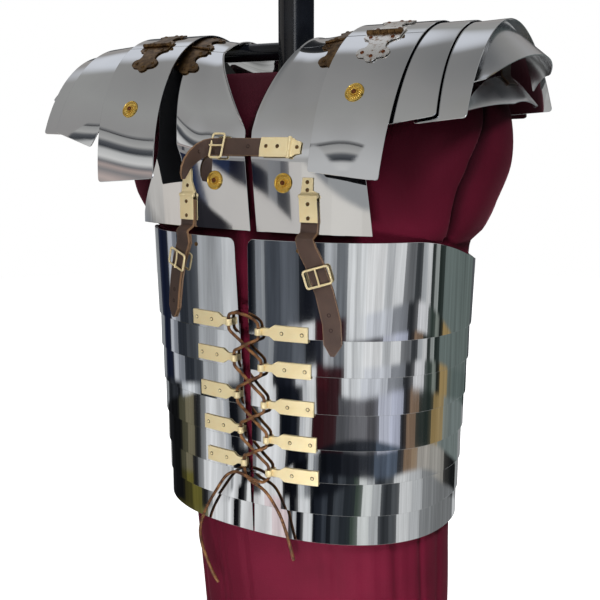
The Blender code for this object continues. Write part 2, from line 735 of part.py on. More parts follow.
def make_girdle_strap(side, label, group):
    """A brass fitting hinged on the breastplate, a strap down to the top hoop."""
    near = STEEL + CLEAR
    far = near + LEATHER + CLEAR
    top, pin, end = FITTING_TOP[side], FITTING_PIN[side], FITTING_END[side]
    leaf = [(*top, near, 0.60), (top[0], top[1] - 0.003, near, 0.60),
            (top[0], top[1] - 0.013, near, 0.66), (pin[0], pin[1] + 0.003, near, 1.0),
            (pin[0], pin[1] - 0.002, far, 1.0), (*end, far, 1.0)]
    name = f"girdle_fitting_{label}"
    plate = band(name, breast_point, leaf, STRAP_W, BRASS_PAINT, BRASS, group, 0.0)
    reach = STRAP_W * 0.53
    pin_start = breast_point(pin[0] - reach, pin[1], far)
    pin_end = breast_point(pin[0] + reach, pin[1], far)
    barrel = cylinder(name + "_barrel", pin_start, pin_end, 0.0021, 10, group, BRASS_PAINT)
    join_solids(plate, [barrel])

    strap = [(pin[0], pin[1] - 0.005, near, 0.94), (*end, near, 0.94)]
    edge = COLLAR_BOTTOM_Z
    lip = HEM_Z + GIRDLE_H
    for z in (edge + 0.0018, edge - 0.0004, lip + 0.0038, lip + 0.0014):
        strap.append((end[0], z, near, 0.94))
    for x, z in STRAP_ROUTE[side]:
        strap.append((x, z, near, 0.94))
    strap.append((*STRAP_TIP[side], near, 0.2))
    band(f"girdle_strap_{label}", over_front, strap, STRAP_W, LEATHER_PAINT, LEATHER, group,
         lip - 0.001)
    place = frame_at(girdle_front, *BUCKLE_AT[side], near + LEATHER)
    make_buckle(f"girdle_buckle_{label}", place, 0.027, 0.018, BUCKLE_TURN[side], group)


def over_back(x, z, out):
    """A point over the back, from the backplates across the gap to the top hoop."""
    lip = HEM_Z + GIRDLE_H + 0.0015
    part = smooth((z - lip) / (COLLAR_BOTTOM_Z + 0.0015 - lip))
    low, high = girdle_front(x, z, out), breast_point(x, z, out)
    low.y, high.y = -low.y, 2 * ARCH_Y - high.y
    return low.lerp(high, part)


REAR_STRAP_X = 0.072
REAR_STRAP_LEVELS = (0.5400, 0.5150, 0.4950, 0.4798, 0.4776, 0.4753, 0.4729, 0.4600, 0.4300,
                     0.4000, 0.3750)


def make_rear_strap(side, label, group):
    """A plain strap that carries the girdle at the back."""
    near = STEEL + 2 * CLEAR
    path = [(side * REAR_STRAP_X, z, near, 0.94) for z in REAR_STRAP_LEVELS]
    path.append((side * REAR_STRAP_X, REAR_STRAP_LEVELS[-1] - 0.012, near, 0.2))
    band(f"girdle_strap_rear_{label}", over_back, path, STRAP_W, LEATHER_PAINT, LEATHER, group,
         0.0)


def make_buckle(name, place, length, height, prong_turn, group):
    """A brass frame lying on the strap, with its prong."""
    wire = 0.0012
    lift = wire + CLEAR + 0.0004
    corner = 0.0028
    turn = Matrix.Rotation(math.radians(prong_turn), 4, "Z")
    points = []
    for ccx, ccy, start in ((1, 1, 0), (-1, 1, 90), (-1, -1, 180), (1, -1, 270)):
        for angle in (start, start + 45, start + 90):
            bearing = math.radians(angle)
            x = ccx * (height / 2 - corner) + corner * math.cos(bearing)
            y = ccy * (length / 2 - corner) + corner * math.sin(bearing)
            points.append(place @ turn @ Vector((x, y, lift)))
    frame = tube(name, points, wire, 1, group, BRASS_PAINT, closed=True)
    start = place @ turn @ Vector((-height / 2, 0, lift))
    end = place @ turn @ Vector((height / 2 + 0.0004, 0, lift + 0.0012))
    prong = cylinder(name + "_prong", start, end, 0.0009, 8, group, BRASS_PAINT)
    join_solids(frame, [prong])


def tube(name, points, radius, resolution, group, paint, closed=False):
    """A round tube along points, made a mesh with its caps welded."""
    curve = bpy.data.curves.new(name, "CURVE")
    curve.dimensions = "3D"
    curve.bevel_depth = radius
    curve.bevel_resolution = resolution
    curve.use_fill_caps = not closed
    spline = curve.splines.new("POLY")
    spline.points.add(len(points) - 1)
    for target, point in zip(spline.points, points):
        target.co = (*point, 1.0)
    spline.use_cyclic_u = closed
    guide = bpy.data.objects.new(name + "_guide", curve)
    group.objects.link(guide)
    bpy.context.view_layer.update()
    evaluated = guide.evaluated_get(bpy.context.evaluated_depsgraph_get())
    mesh = bpy.data.meshes.new_from_object(evaluated)
    bpy.data.objects.remove(guide, do_unlink=True)
    bm = bmesh.new()
    bm.from_mesh(mesh)
    bmesh.ops.remove_doubles(bm, verts=bm.verts, dist=1e-6)
    obj = mesh_object(name, bm, group)
    finish(obj, paint)
    return obj


CHEST_Z = 0.5635
CHEST_FITTING = (0.0600, 0.0475, 0.0136)      # x of the leaf's end, the pin, the plate's end
CHEST_BUCKLE_X = -0.0415


def make_chest_strap(group):
    """The strap that closes the breastplates, its end curling away from the plate."""
    near = STEEL + 3 * CLEAR
    far = near + LEATHER + CLEAR
    leaf_x, pin_x, end_x = CHEST_FITTING
    leaf = [(leaf_x, CHEST_Z, near, 0.60), ((leaf_x + pin_x) / 2, CHEST_Z, near, 0.75),
            (pin_x + 0.003, CHEST_Z, near, 1.0), (pin_x - 0.002, CHEST_Z, far, 1.0),
            ((pin_x + end_x) / 2, CHEST_Z, far, 1.0), (end_x, CHEST_Z, far, 1.0)]
    plate = band("chest_fitting", breast_point, leaf, CHEST_STRAP_W + 0.001, BRASS_PAINT, BRASS,
                 group)
    reach = CHEST_STRAP_W * 0.55
    barrel = cylinder("chest_barrel", breast_point(pin_x, CHEST_Z - reach, far + CLEAR),
                      breast_point(pin_x, CHEST_Z + reach, far + CLEAR), 0.0021, 10, group,
                      BRASS_PAINT)
    join_solids(plate, [barrel])
    strap = [(x, CHEST_Z, near, 1.0)
             for x in (pin_x - 0.005, 0.028, end_x, 0.000, -0.015, -0.030, -0.044)]
    curl = ((-0.056, -0.0010, -0.0010), (-0.068, -0.0035, -0.0040), (-0.078, -0.0085, -0.0090),
            (-0.0835, -0.0150, -0.0155), (-0.0850, -0.0215, -0.0230), (-0.0835, -0.0265, -0.0310))
    strap += [(x, CHEST_Z, near, 1.0, Vector((0, off, sag))) for x, off, sag in curl]
    band("chest_strap", breast_point, strap, CHEST_STRAP_W, LEATHER_PAINT, LEATHER, group)
    place = frame_at(breast_point, CHEST_BUCKLE_X, CHEST_Z, near + LEATHER)
    make_buckle("chest_buckle", place, 0.026, 0.016, 180, group)


# Lace

LACE_BULGE = 0.0023      # the two strands pass this far in front of and behind each other
LACE_LEAD = 0.0058       # the lace runs straight this far above and below a loop's middle
TAIL_RIGHT = (
    # the free end that hangs towards the wearer's right, from the knot downwards
    (0.0290, -0.1400, 0.2135), (0.0200, -0.1422, 0.2150), (0.0095, -0.1427, 0.2178),
    (-0.0020, -0.1410, 0.2190), (-0.0125, -0.1380, 0.2165), (-0.0243, -0.1360, 0.2080),
    (-0.0380, -0.1335, 0.1900), (-0.0500, -0.1310, 0.1730), (-0.0600, -0.1290, 0.1560),
    (-0.0660, -0.1280, 0.1400), (-0.0665, -0.1280, 0.1270), (-0.0626, -0.1285, 0.1140),
    (-0.0560, -0.1290, 0.1010), (-0.0490, -0.1290, 0.0880), (-0.0410, -0.1290, 0.0780),
)
TAIL_LEFT = (
    (0.0045, -0.1368, 0.2165), (0.0115, -0.1370, 0.2108), (0.0200, -0.1372, 0.2080),
    (0.0280, -0.1374, 0.2045), (0.0345, -0.1370, 0.1990), (0.0413, -0.1355, 0.1890),
    (0.0477, -0.1335, 0.1765), (0.0527, -0.1315, 0.1610), (0.0575, -0.1305, 0.1450),
    (0.0615, -0.1300, 0.1300),
)


def arc(start, start_pull, end, end_pull, parts):
    """Points between start and end of a Hermite curve, both ends left out."""
    points = []
    for i in range(1, parts):
        t = i / parts
        points.append(start * (2 * t ** 3 - 3 * t ** 2 + 1) + start_pull * (t ** 3 - 2 * t ** 2 + t)
                      + end * (3 * t ** 2 - 2 * t ** 3) + end_pull * (t ** 3 - t ** 2))
    return points


def strand(first_side, ahead_first):
    """Points of one strand, from a top loop across to the other side and down."""
    lead = Vector((0, 0, LACE_LEAD))
    side = first_side
    points = []
    for number in range(5):
        centre = loop_centre(number, side)
        top, foot = centre + lead, centre - lead
        if number:
            above = points[-1]
            ahead = LACE_BULGE if (number % 2 == 1) == ahead_first else -LACE_BULGE
            middle = (above + top) / 2 + Vector((0, -0.0028 - ahead, 0))
            across = (top - above) * 0.9
            points += arc(above, lead * -2.2, middle, across, 3)
            points.append(middle)
            points += arc(middle, across, top, lead * -2.2, 3)
        points += [top, centre, foot]
        side = -side
    return points


def make_lace(group):
    first = strand(1, True)
    second = strand(-1, False)
    rise = Vector((0, 0, 0.030))
    over = arc(first[0], rise, second[0], -rise, 6)
    tail_a = [Vector(point) for point in TAIL_RIGHT]
    tail_b = [Vector(point) for point in TAIL_LEFT]
    points = list(reversed(tail_a)) + list(reversed(first)) + over + second + tail_b
    tube("lace", points, LACE_R, 2, group, LACE_PAINT)


def build():
    clear_scene()
    group = collection(MODEL)
    make_form(group)
    make_stand(group)
    for side, label in ((1, "left"), (-1, "right")):
        for number in range(len(HOOP_SHOWN)):
            make_hoop(number, side, label, group)
        for number in range(5):
            make_tie(number, side, label, group)
        crease = COLLAR_CREASE
        front = [-COLLAR_SPLIT - (crease - COLLAR_SPLIT) * t for t in steps(8)]
        front += [-crease - 0.5, -crease - 1.0]
        make_collar_plate(f"breastplate_{label}", front, side, group)
        back = [-COLLAR_SPLIT + 0.0012, -0.03, 0.0, 0.03, 0.055, 0.072, NECK_BACK]
        back += [NECK_BACK + (crease - NECK_BACK) * t for t in (0.3, 0.65, 1.0)]
        back += [crease + 0.5, crease + 1.0]
        make_collar_plate(f"backplate_{label}", back, side, group)
        make_guards(side, label, group)
        make_hinges(side, label, group)
        make_rosettes(side, label, group)
        make_girdle_strap(side, label, group)
        make_rear_strap(side, label, group)
        make_hanger(side, label, group)
    make_chest_strap(group)
    make_lace(group)


build()
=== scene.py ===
import json
import math

import bmesh
import bpy
from mathutils import Matrix, Vector

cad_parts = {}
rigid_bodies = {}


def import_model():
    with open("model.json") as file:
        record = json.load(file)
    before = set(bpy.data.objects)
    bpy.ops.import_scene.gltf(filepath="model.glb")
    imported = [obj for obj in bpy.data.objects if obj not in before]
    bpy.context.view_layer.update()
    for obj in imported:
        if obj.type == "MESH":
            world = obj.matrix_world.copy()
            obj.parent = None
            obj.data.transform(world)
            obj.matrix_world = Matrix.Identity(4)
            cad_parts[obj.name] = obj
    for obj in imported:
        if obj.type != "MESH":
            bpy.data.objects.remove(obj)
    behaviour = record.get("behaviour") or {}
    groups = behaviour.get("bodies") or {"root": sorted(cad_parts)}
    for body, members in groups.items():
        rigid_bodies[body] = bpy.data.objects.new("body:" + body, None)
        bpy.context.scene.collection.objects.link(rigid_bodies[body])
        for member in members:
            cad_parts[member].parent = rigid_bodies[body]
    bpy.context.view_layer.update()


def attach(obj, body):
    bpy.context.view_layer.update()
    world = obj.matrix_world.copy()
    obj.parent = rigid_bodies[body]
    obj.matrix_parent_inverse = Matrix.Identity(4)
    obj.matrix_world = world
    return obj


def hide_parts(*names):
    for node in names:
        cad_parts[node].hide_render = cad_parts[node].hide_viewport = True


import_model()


# Camera: a short telephoto from the armour's front left, a little above the chest and
# looking slightly down, so that the form runs off the lower edge of the picture.
lens = bpy.data.cameras.new("camera")
lens.sensor_width = 36
lens.lens = 59.3
camera = bpy.data.objects.new("camera", lens)
camera.location = (0.6074, -0.9561, 0.5808)
camera.rotation_euler = (math.radians(80.282), 0, math.radians(33.06))
bpy.context.collection.objects.link(camera)
bpy.context.scene.camera = camera
bpy.context.scene.view_settings.view_transform = "Standard"


# Studio: white surround, grey ceiling and upright soft boxes with dark gaps between them.
# Polished plate has hardly a colour of its own, so these are the streaks that it shows.
# Soft lamps light the cloth and leather, one small one shines in the paint and brass, and
# the floor is a pale matt sheet.
def srgb(code):
    """Linear colour of a six-digit hex colour."""
    parts = [int(code[i:i + 2], 16) / 255 for i in (1, 3, 5)]
    return (*(p / 12.92 if p <= 0.04045 else ((p + 0.055) / 1.055) ** 2.4 for p in parts), 1.0)


def add(tree, kind, settings=None, links=None):
    """Add one node: settings go to its own properties or its inputs, links to its inputs."""
    node = tree.nodes.new(kind)
    for name, value in (settings or {}).items():
        if isinstance(name, int) or name in node.inputs:
            node.inputs[name].default_value = value
        else:
            setattr(node, name, value)
    for name, socket in (links or {}).items():
        tree.links.new(socket, node.inputs[name])
    return node


# Rows of soft boxes and dark gaps, each with its bearing round the object in degrees, 0 in
# front and + to the wearer's left. The first four show in the hoops from the hem up, the
# next in the top hoop, and the last five in the breastplates and guards from the foot up.
LOWEST_PANELS = (
    (-180, "#c9cbcc"), (-120, "#1c1d1f"), (-84, "#4d4924"), (-68, "#6f6a3c"), (-60, "#eceded"),
    (-43, "#f1f2f3"), (-41, "#0f1013"), (-38, "#15161a"), (-36.5, "#f3f4f4"), (-23, "#f2dfe1"),
    (-20, "#1a1b20"), (-18.5, "#dcdfe2"), (-16.8, "#dcdfe2"), (-15.8, "#0f1015"),
    (-11.5, "#14161b"), (-10.5, "#f1f2f3"), (-2.5, "#eef0f1"), (-1, "#0e1118"), (3.5, "#22262e"),
    (8, "#3b4048"), (13, "#1a1d22"), (17, "#454a50"), (27, "#2e3338"), (33, "#46524a"),
    (40, "#e6e9e7"), (48, "#c9cccd"), (57, "#3a3d41"), (70, "#54575a"), (78, "#e4e5e5"),
    (105, "#c6c8c9"), (115, "#8f9192"), (150, "#7f8182"))
LOWER_PANELS = (
    (-180, "#9a9c9d"), (-126, "#8c8d8e"), (-120, "#1c1d1f"), (-90, "#141516"), (-84, "#3d3a20"),
    (-72, "#6b6530"), (-66, "#1f2023"), (-61, "#8d8f90"), (-58, "#f1f2f3"), (-47, "#e6e7e8"),
    (-45.5, "#8f9193"), (-43, "#f2f3f4"), (-38, "#0f1013"), (-33, "#15161a"), (-31, "#f3f4f4"),
    (-21, "#f5f5f5"), (-19, "#0c0d11"), (-11, "#101218"), (-9, "#dfe2e4"), (-4, "#8a8d91"),
    (1, "#101318"), (9, "#15181e"), (26, "#23262c"), (44, "#33363c"), (58, "#56606f"),
    (72, "#5d6878"), (80, "#3a3c40"), (88, "#8b745f"), (98, "#a08a72"), (106, "#b3aea6"),
    (140, "#a7a49d"), (165, "#1c1e1f"))
LOW_PANELS = (
    (-180, "#9a9c9d"), (-126, "#8c8d8e"), (-120, "#1c1d1f"), (-90, "#141516"), (-84, "#4b4a3a"),
    (-72, "#77715c"), (-66, "#1f2023"), (-61, "#8d8f90"), (-58, "#f1f2f3"), (-48, "#e6e7e8"),
    (-43, "#b9bcc0"), (-41, "#15171d"), (-36, "#1a1c22"), (-34, "#f2f3f4"), (-26, "#f4f5f6"),
    (-23, "#10131a"), (-12, "#1a1d25"), (-9, "#e2e4e6"), (-3, "#eceded"), (1, "#35181d"),
    (17, "#3a2226"), (22, "#5b5c60"), (36, "#77777b"), (50, "#5d5c60"), (58, "#d3d6e4"),
    (74, "#c4c8da"), (80, "#2a2b2e"), (88, "#8a7360"), (101, "#353b38"), (112, "#2c3431"),
    (124, "#a38b5e"), (150, "#7c8684"))
BELT_PANELS = (
    (-180, "#3a4241"), (-118, "#8f9295"), (-112, "#25282c"), (-92, "#33363b"), (-84, "#1b1d21"),
    (-79, "#c3c7cb"), (-70, "#e4e7ea"), (-63, "#b3b7bb"), (-60, "#202328"), (-50, "#33363c"),
    (-48, "#d8dadd"), (-43, "#b9bcc0"), (-41, "#15171d"), (-37, "#1a1c22"), (-35, "#f2f3f4"),
    (-27, "#f4f5f6"), (-25, "#171a22"), (-16, "#22252e"), (-13, "#d9dbde"), (-2, "#f3f4f5"),
    (1, "#401a20"), (20, "#3a2226"), (25, "#e9ebed"), (52, "#dcdfe6"), (70, "#8d9096"),
    (81, "#2b2d30"), (92, "#eeeef0"), (108, "#39443f"), (118, "#7f867f"), (123, "#222a27"),
    (132, "#a38b5e"), (154, "#65716e"))
TOP_HOOP_PANELS = (
    (-180, "#5a5d60"), (-118, "#8f9295"), (-105, "#1b2136"), (-92, "#1d2233"), (-88, "#c9ccd3"),
    (-80, "#8f939b"), (-74, "#2b2f36"), (-60, "#4c5056"), (-56, "#b5b8bb"), (-38, "#dcdee0"),
    (-36, "#20242e"), (-30, "#15181f"), (-28, "#8b8f95"), (-25, "#a9adb1"), (-23, "#4a4f57"),
    (-12, "#636870"), (-6, "#1c1f26"), (3, "#2a2d35"), (8, "#b9bcc0"), (20, "#6d7176"),
    (25, "#eceeef"), (50, "#f4f4f4"), (56, "#c9cbcd"), (64, "#eeeff0"), (76, "#77797c"),
    (86, "#3a3d40"), (94, "#b9bcbe"), (100, "#dcdddd"), (106, "#2c3331"), (113, "#a5aaa7"),
    (118, "#2a3330"), (134, "#6d7875"))
CHEST_PANELS = (
    (-180, "#303236"), (-110, "#55585b"), (-80, "#c9c6c2"), (-53, "#ddd6cf"), (-50, "#26252a"),
    (-40, "#2c2b30"), (-38, "#c8c4be"), (-33, "#d8d3cc"), (-32, "#3a3a3d"), (-29, "#454547"),
    (-28, "#c9c4be"), (-8, "#e6e2dc"), (12, "#cfc9c1"), (15, "#1a1c20"), (20, "#8f9db8"),
    (34, "#a9b6d0"), (40, "#3a4150"), (50, "#101216"), (120, "#17191d"), (150, "#303236"))
LIGHT_PANELS = (
    (-180, "#303236"), (-110, "#55585b"), (-80, "#cfcbc7"), (-53, "#cfc9c4"), (-50, "#1b2338"),
    (-45, "#2a3550"), (-43, "#cfcbc7"), (12, "#cfcbc7"), (15, "#1a1c20"), (20, "#8f9db8"),
    (34, "#a9b6d0"), (40, "#3a4150"), (50, "#101216"), (120, "#17191d"), (150, "#303236"))
NAVY_PANELS = (
    (-180, "#303236"), (-110, "#55585b"), (-80, "#bdb9b6"), (-54, "#c6c1bd"), (-51, "#1b2338"),
    (-44, "#2a3550"), (-37, "#1a1c28"), (-35, "#8e8f92"), (-30, "#3c3d42"), (-27, "#cfcbc7"),
    (-20, "#dedad4"), (5, "#e6e2dc"), (12, "#dcd8d2"), (30, "#9a9c9e"), (50, "#101216"),
    (120, "#17191d"), (150, "#303236"))
PALE_PANELS = (
    (-180, "#303236"), (-110, "#55585b"), (-80, "#a9a6a4"), (-60, "#9b9796"), (-38, "#8f8e8f"),
    (-34, "#8a8b8e"), (-30, "#5c5d62"), (-28, "#cfcbc7"), (-20, "#dedad4"), (5, "#e6e2dc"),
    (12, "#dcd8d2"), (30, "#9a9c9e"), (50, "#101216"), (120, "#17191d"), (150, "#303236"))
SHADE_PANELS = (
    (-180, "#303236"), (-110, "#55585b"), (-76, "#a9a6a4"), (-66, "#b59a98"), (-58, "#8c8587"),
    (-52, "#8f8d8d"), (-49, "#3c3d45"), (-47, "#9a9999"), (-38, "#a9a8a8"), (-24, "#b3b2b0"),
    (-20, "#8d8f92"), (0, "#a3a5a6"), (30, "#9a9c9e"), (150, "#303236"))
# a lit shelf that shows in the wearer's right guard, from its foot to its top
SHELF = (
    (0.0, "#8f8d8c"), (0.15, "#cbbab4"), (0.28, "#8c8a8b"), (0.36, "#b9a9a4"), (0.42, "#77777a"),
    (0.50, "#e0dfdd"), (0.62, "#c9c9c8"), (0.68, "#3d4045"), (0.76, "#606266"), (0.82, "#b6b5b3"),
    (0.94, "#a0a09f"), (0.957, "#2a2a2d"), (0.97, "#6a6a6c"), (1.0, "#8a8a8a"))
# the ceiling by the sine of its height, over the front and over the wearer's right side
CEILING = (
    (0.35, "#cbcbcb"), (0.45, "#c7c7c7"), (0.55, "#b5b5b5"), (0.66, "#a3a2a0"), (0.75, "#989794"),
    (0.87, "#8e8e8d"), (0.97, "#767778"))
SIDE_CEILING = (
    (0.30, "#a19d9a"), (0.50, "#9d9b9a"), (0.64, "#a2a2a0"), (0.80, "#959493"), (0.97, "#767778"))
# a window behind the wearer's right shoulder brightens the guards near their crest
WINDOW, WINDOW_EDGE, WINDOW_CORE, WINDOW_SHARE = (-0.60, 0.38, 0.70), 0.945, 0.985, 0.75
# the shelf's bearing, half width and the edge it fades over, and the sines of its height
SHELF_AT, SHELF_HALF, SHELF_FADE = math.radians(-49.0), math.radians(8.5), math.radians(0.5)
SHELF_FOOT, SHELF_HEAD, SHELF_END = 0.29, 0.53, 0.535
# how far the panels' edges are hard, and how much the low ones rise towards the sides
HARD_SHARE, BAND_TILT, TILT_REACH = 0.7, 0.0085, 1.3
# upright streaks: repeats round the body and up it, and how far they darken and lighten
STREAKS, STREAK_DARK, STREAK_LIGHT = (9.0, 2.5, 0.0), 0.66, 1.16
# strength of the light on matt surfaces, from below and from above
MATT_LOW, MATT_HIGH = 0.05, 0.40

world = bpy.data.worlds.new("studio")
bpy.context.scene.world = world
world.use_nodes = True
tree = world.node_tree


def fill(ramp, stops):
    """Give a colour ramp node its stops: place from 0 to 1 and hex colour."""
    while len(ramp.color_ramp.elements) < len(stops):
        ramp.color_ramp.elements.new(1.0)
    for element, (place, code) in zip(ramp.color_ramp.elements, stops):
        element.position = place
        element.color = srgb(code)


heading = add(tree, "ShaderNodeTexCoord").outputs["Generated"]
parts = add(tree, "ShaderNodeSeparateXYZ", {}, {0: heading}).outputs
back = add(tree, "ShaderNodeMath", {"operation": "MULTIPLY", 1: -1.0}, {0: parts["Y"]})
bearing = add(tree, "ShaderNodeMath", {"operation": "ARCTAN2"},
              {0: parts["X"], 1: back.outputs[0]}).outputs[0]
turn = add(tree, "ShaderNodeMapRange", {"From Min": -math.pi, "From Max": math.pi},
           {"Value": bearing}).outputs[0]
window = add(tree, "ShaderNodeVectorMath", {"operation": "DOT_PRODUCT", 1: WINDOW},
             {0: heading})
bright = add(tree, "ShaderNodeMapRange", {"From Min": WINDOW_EDGE, "From Max": WINDOW_CORE,
             "To Min": 0.0, "To Max": WINDOW_SHARE, "interpolation_type": "SMOOTHSTEP"},
             {"Value": window.outputs["Value"]})
overhead = add(tree, "ShaderNodeValToRGB", {}, {0: parts["Z"]})
fill(overhead, CEILING)
side_overhead = add(tree, "ShaderNodeValToRGB", {}, {0: parts["Z"]})
fill(side_overhead, SIDE_CEILING)
sideways = add(tree, "ShaderNodeMapRange",
               {"From Min": math.radians(-43), "From Max": math.radians(-50)},
               {"Value": bearing})
roof = add(tree, "ShaderNodeMix", {"data_type": "RGBA"},
           {0: sideways.outputs[0], 6: overhead.outputs[0], 7: side_overhead.outputs[0]})
ceiling = add(tree, "ShaderNodeMix", {"data_type": "RGBA", 7: srgb("#eef2fb")},
              {0: bright.outputs[0], 6: roof.outputs[2]})
shelf_height = add(tree, "ShaderNodeMapRange", {"From Min": SHELF_FOOT, "From Max": SHELF_HEAD},
                   {"Value": parts["Z"]})
shelf = add(tree, "ShaderNodeValToRGB", {}, {0: shelf_height.outputs[0]})
fill(shelf, SHELF)
off = add(tree, "ShaderNodeMath", {"operation": "ADD", 1: -SHELF_AT}, {0: bearing})
off = add(tree, "ShaderNodeMath", {"operation": "ABSOLUTE"}, {0: off.outputs[0]})
beside = add(tree, "ShaderNodeMapRange",
             {"From Min": SHELF_HALF, "From Max": SHELF_HALF - SHELF_FADE},
             {"Value": off.outputs[0]})
below_top = add(tree, "ShaderNodeMapRange", {"From Min": SHELF_END, "From Max": SHELF_HEAD},
                {"Value": parts["Z"]})
shelf_share = add(tree, "ShaderNodeMath", {"operation": "MULTIPLY"},
                  {0: beside.outputs[0], 1: below_top.outputs[0]})
top = add(tree, "ShaderNodeMix", {"data_type": "RGBA"},
          {0: shelf_share.outputs[0], 6: ceiling.outputs[2], 7: shelf.outputs[0]}).outputs[2]

# the low panels' edges rise a little towards the sides, so that they keep to the hoops
aside = add(tree, "ShaderNodeMath", {"operation": "ABSOLUTE"}, {0: bearing})
aside = add(tree, "ShaderNodeMath", {"operation": "MINIMUM", 1: TILT_REACH},
            {0: aside.outputs[0]})
tilted = add(tree, "ShaderNodeMath", {"operation": "MULTIPLY_ADD", 1: BAND_TILT},
             {0: aside.outputs[0], 2: parts["Z"]}).outputs[0]


def row_of_panels(stops):
    """Colour by bearing: hard edges midway between the stops, over a soft gradient."""
    soft = add(tree, "ShaderNodeValToRGB", {}, {0: turn})
    fill(soft, [(degrees / 360 + 0.5, code) for degrees, code in stops])
    edges = [0.0] + [(a[0] + b[0]) / 720 + 0.5 for a, b in zip(stops, stops[1:])]
    hard = add(tree, "ShaderNodeValToRGB", {}, {0: turn})
    fill(hard, [(edge, code) for edge, (_, code) in zip(edges, stops)])
    hard.color_ramp.interpolation = "CONSTANT"
    return add(tree, "ShaderNodeMix", {"data_type": "RGBA", 0: HARD_SHARE},
               {6: soft.outputs[0], 7: hard.outputs[0]}).outputs[2]


# each row, the sines of the heights where it gives way to the next, and the height read
surround = row_of_panels(LOWEST_PANELS)
for after, fade, height in ((LOWER_PANELS, (-0.346, -0.341), tilted),
                            (LOW_PANELS, (-0.320, -0.315), tilted),
                            (BELT_PANELS, (-0.262, -0.257), tilted),
                            (TOP_HOOP_PANELS, (-0.236, -0.230), tilted),
                            (CHEST_PANELS, (-0.06, -0.02), parts["Z"]),
                            (LIGHT_PANELS, (0.096, 0.099), parts["Z"]),
                            (NAVY_PANELS, (0.140, 0.144), parts["Z"]),
                            (PALE_PANELS, (0.168, 0.172), parts["Z"]),
                            (SHADE_PANELS, (0.216, 0.222), parts["Z"]),
                            (None, (0.27, 0.33), parts["Z"])):
    share = add(tree, "ShaderNodeMapRange", {"From Min": fade[0], "From Max": fade[1]},
                {"Value": height})
    colour = row_of_panels(after) if after else top
    surround = add(tree, "ShaderNodeMix", {"data_type": "RGBA"},
                   {0: share.outputs[0], 6: surround, 7: colour}).outputs[2]
deep = add(tree, "ShaderNodeMapRange", {"From Min": -0.60, "From Max": -0.75},
           {"Value": parts["Z"]})
surround = add(tree, "ShaderNodeMix", {"data_type": "RGBA", 7: srgb("#b8b8b6")},
               {0: deep.outputs[0], 6: surround}).outputs[2]
# the streaks fade out at the level of the chest
angle = add(tree, "ShaderNodeCombineXYZ", {}, {0: bearing, 1: parts["Z"]})
spread = add(tree, "ShaderNodeVectorMath", {"operation": "MULTIPLY", 1: STREAKS},
             {0: angle.outputs[0]})
streak = add(tree, "ShaderNodeTexNoise", {"Scale": 1.0, "Detail": 4.0, "Roughness": 0.75},
             {"Vector": spread.outputs[0]})
contrast = add(tree, "ShaderNodeMapRange", {"From Min": 0.34, "From Max": 0.66,
               "To Min": STREAK_DARK, "To Max": STREAK_LIGHT}, {"Value": streak.outputs["Fac"]})
low_down = add(tree, "ShaderNodeMapRange", {"From Min": 0.02, "From Max": -0.03},
               {"Value": parts["Z"]})
shading = add(tree, "ShaderNodeMix", {"data_type": "FLOAT", 2: 1.0},
              {0: low_down.outputs[0], 3: contrast.outputs[0]})
surround = add(tree, "ShaderNodeVectorMath", {"operation": "SCALE"},
               {0: surround, "Scale": shading.outputs[0]}).outputs[0]
# the camera itself sees plain white
seen = add(tree, "ShaderNodeLightPath").outputs
background = tree.nodes["Background"]
plain = add(tree, "ShaderNodeMix", {"data_type": "RGBA", 7: (1.0, 1.0, 1.0, 1.0)},
            {0: seen["Is Camera Ray"], 6: surround})
tree.links.new(plain.outputs[2], background.inputs["Color"])
# light on the matt surfaces comes from above, so that the guards shade the cloth below them
from_above = add(tree, "ShaderNodeMapRange", {"From Min": -0.2, "From Max": 0.9,
                 "To Min": MATT_LOW, "To Max": MATT_HIGH}, {"Value": parts["Z"]})
matt = add(tree, "ShaderNodeMath", {"operation": "MINIMUM", 1: 1.0},
           {0: seen["Diffuse Depth"]})
power = add(tree, "ShaderNodeMix", {"data_type": "FLOAT", 2: 1.0},
            {0: matt.outputs[0], 3: from_above.outputs[0]})
tree.links.new(power.outputs[0], background.inputs["Strength"])

# lamps: place, the point that each is turned to, size and watts
for name, place, aim, size, watts in (
        ("lamp_high", (1.25, -0.60, 1.80), (0.05, 0.0, 0.40), 0.4, 38.0),
        ("lamp_front", (-0.7, -1.9, 1.6), (0.0, 0.0, 0.35), 1.4, 10.0),
        ("lamp_rear", (-0.5, 2.1, 1.5), (0.0, 0.0, 0.35), 1.2, 14.0),
        ("lamp_low", (0.26, -0.66, 0.02), (0.03, -0.10, 0.08), 0.3, 8.0),
        ("lamp_pole", (0.875, -2.01, 0.93), (-0.02, 0.0, 0.70), 0.42, 2.4)):
    lamp = bpy.data.lights.new(name, "AREA")
    lamp.size = size
    lamp.energy = watts
    light = bpy.data.objects.new(name, lamp)
    light.location = place
    light.rotation_euler = (Vector(aim) - Vector(place)).to_track_quat("-Z", "Y").to_euler()
    light.visible_glossy = name == "lamp_pole"
    bpy.context.collection.objects.link(light)

bm = bmesh.new()
bmesh.ops.create_circle(bm, cap_ends=True, segments=96, radius=3.0)
floor_mesh = bpy.data.meshes.new("floor")
bm.to_mesh(floor_mesh)
bm.free()
floor = bpy.data.objects.new("floor", floor_mesh)
floor.location.z = -0.0005
floor.visible_glossy = floor.visible_diffuse = False
bpy.context.collection.objects.link(floor)


def new_material(name, settings):
    """A material with its shader's plain values set, its node tree and its shader."""
    material = bpy.data.materials.new(name)
    material.use_nodes = True
    shader = material.node_tree.nodes["Principled BSDF"]
    for key, value in settings.items():
        shader.inputs[key].default_value = value
    return material, material.node_tree, shader


paper, _, _ = new_material("white_backdrop_paper", {
    "Base Color": srgb("#f4f4f3"), "Roughness": 0.9, "Emission Color": srgb("#ffffff"),
    "Emission Strength": 0.95})
floor_mesh.materials.append(paper)


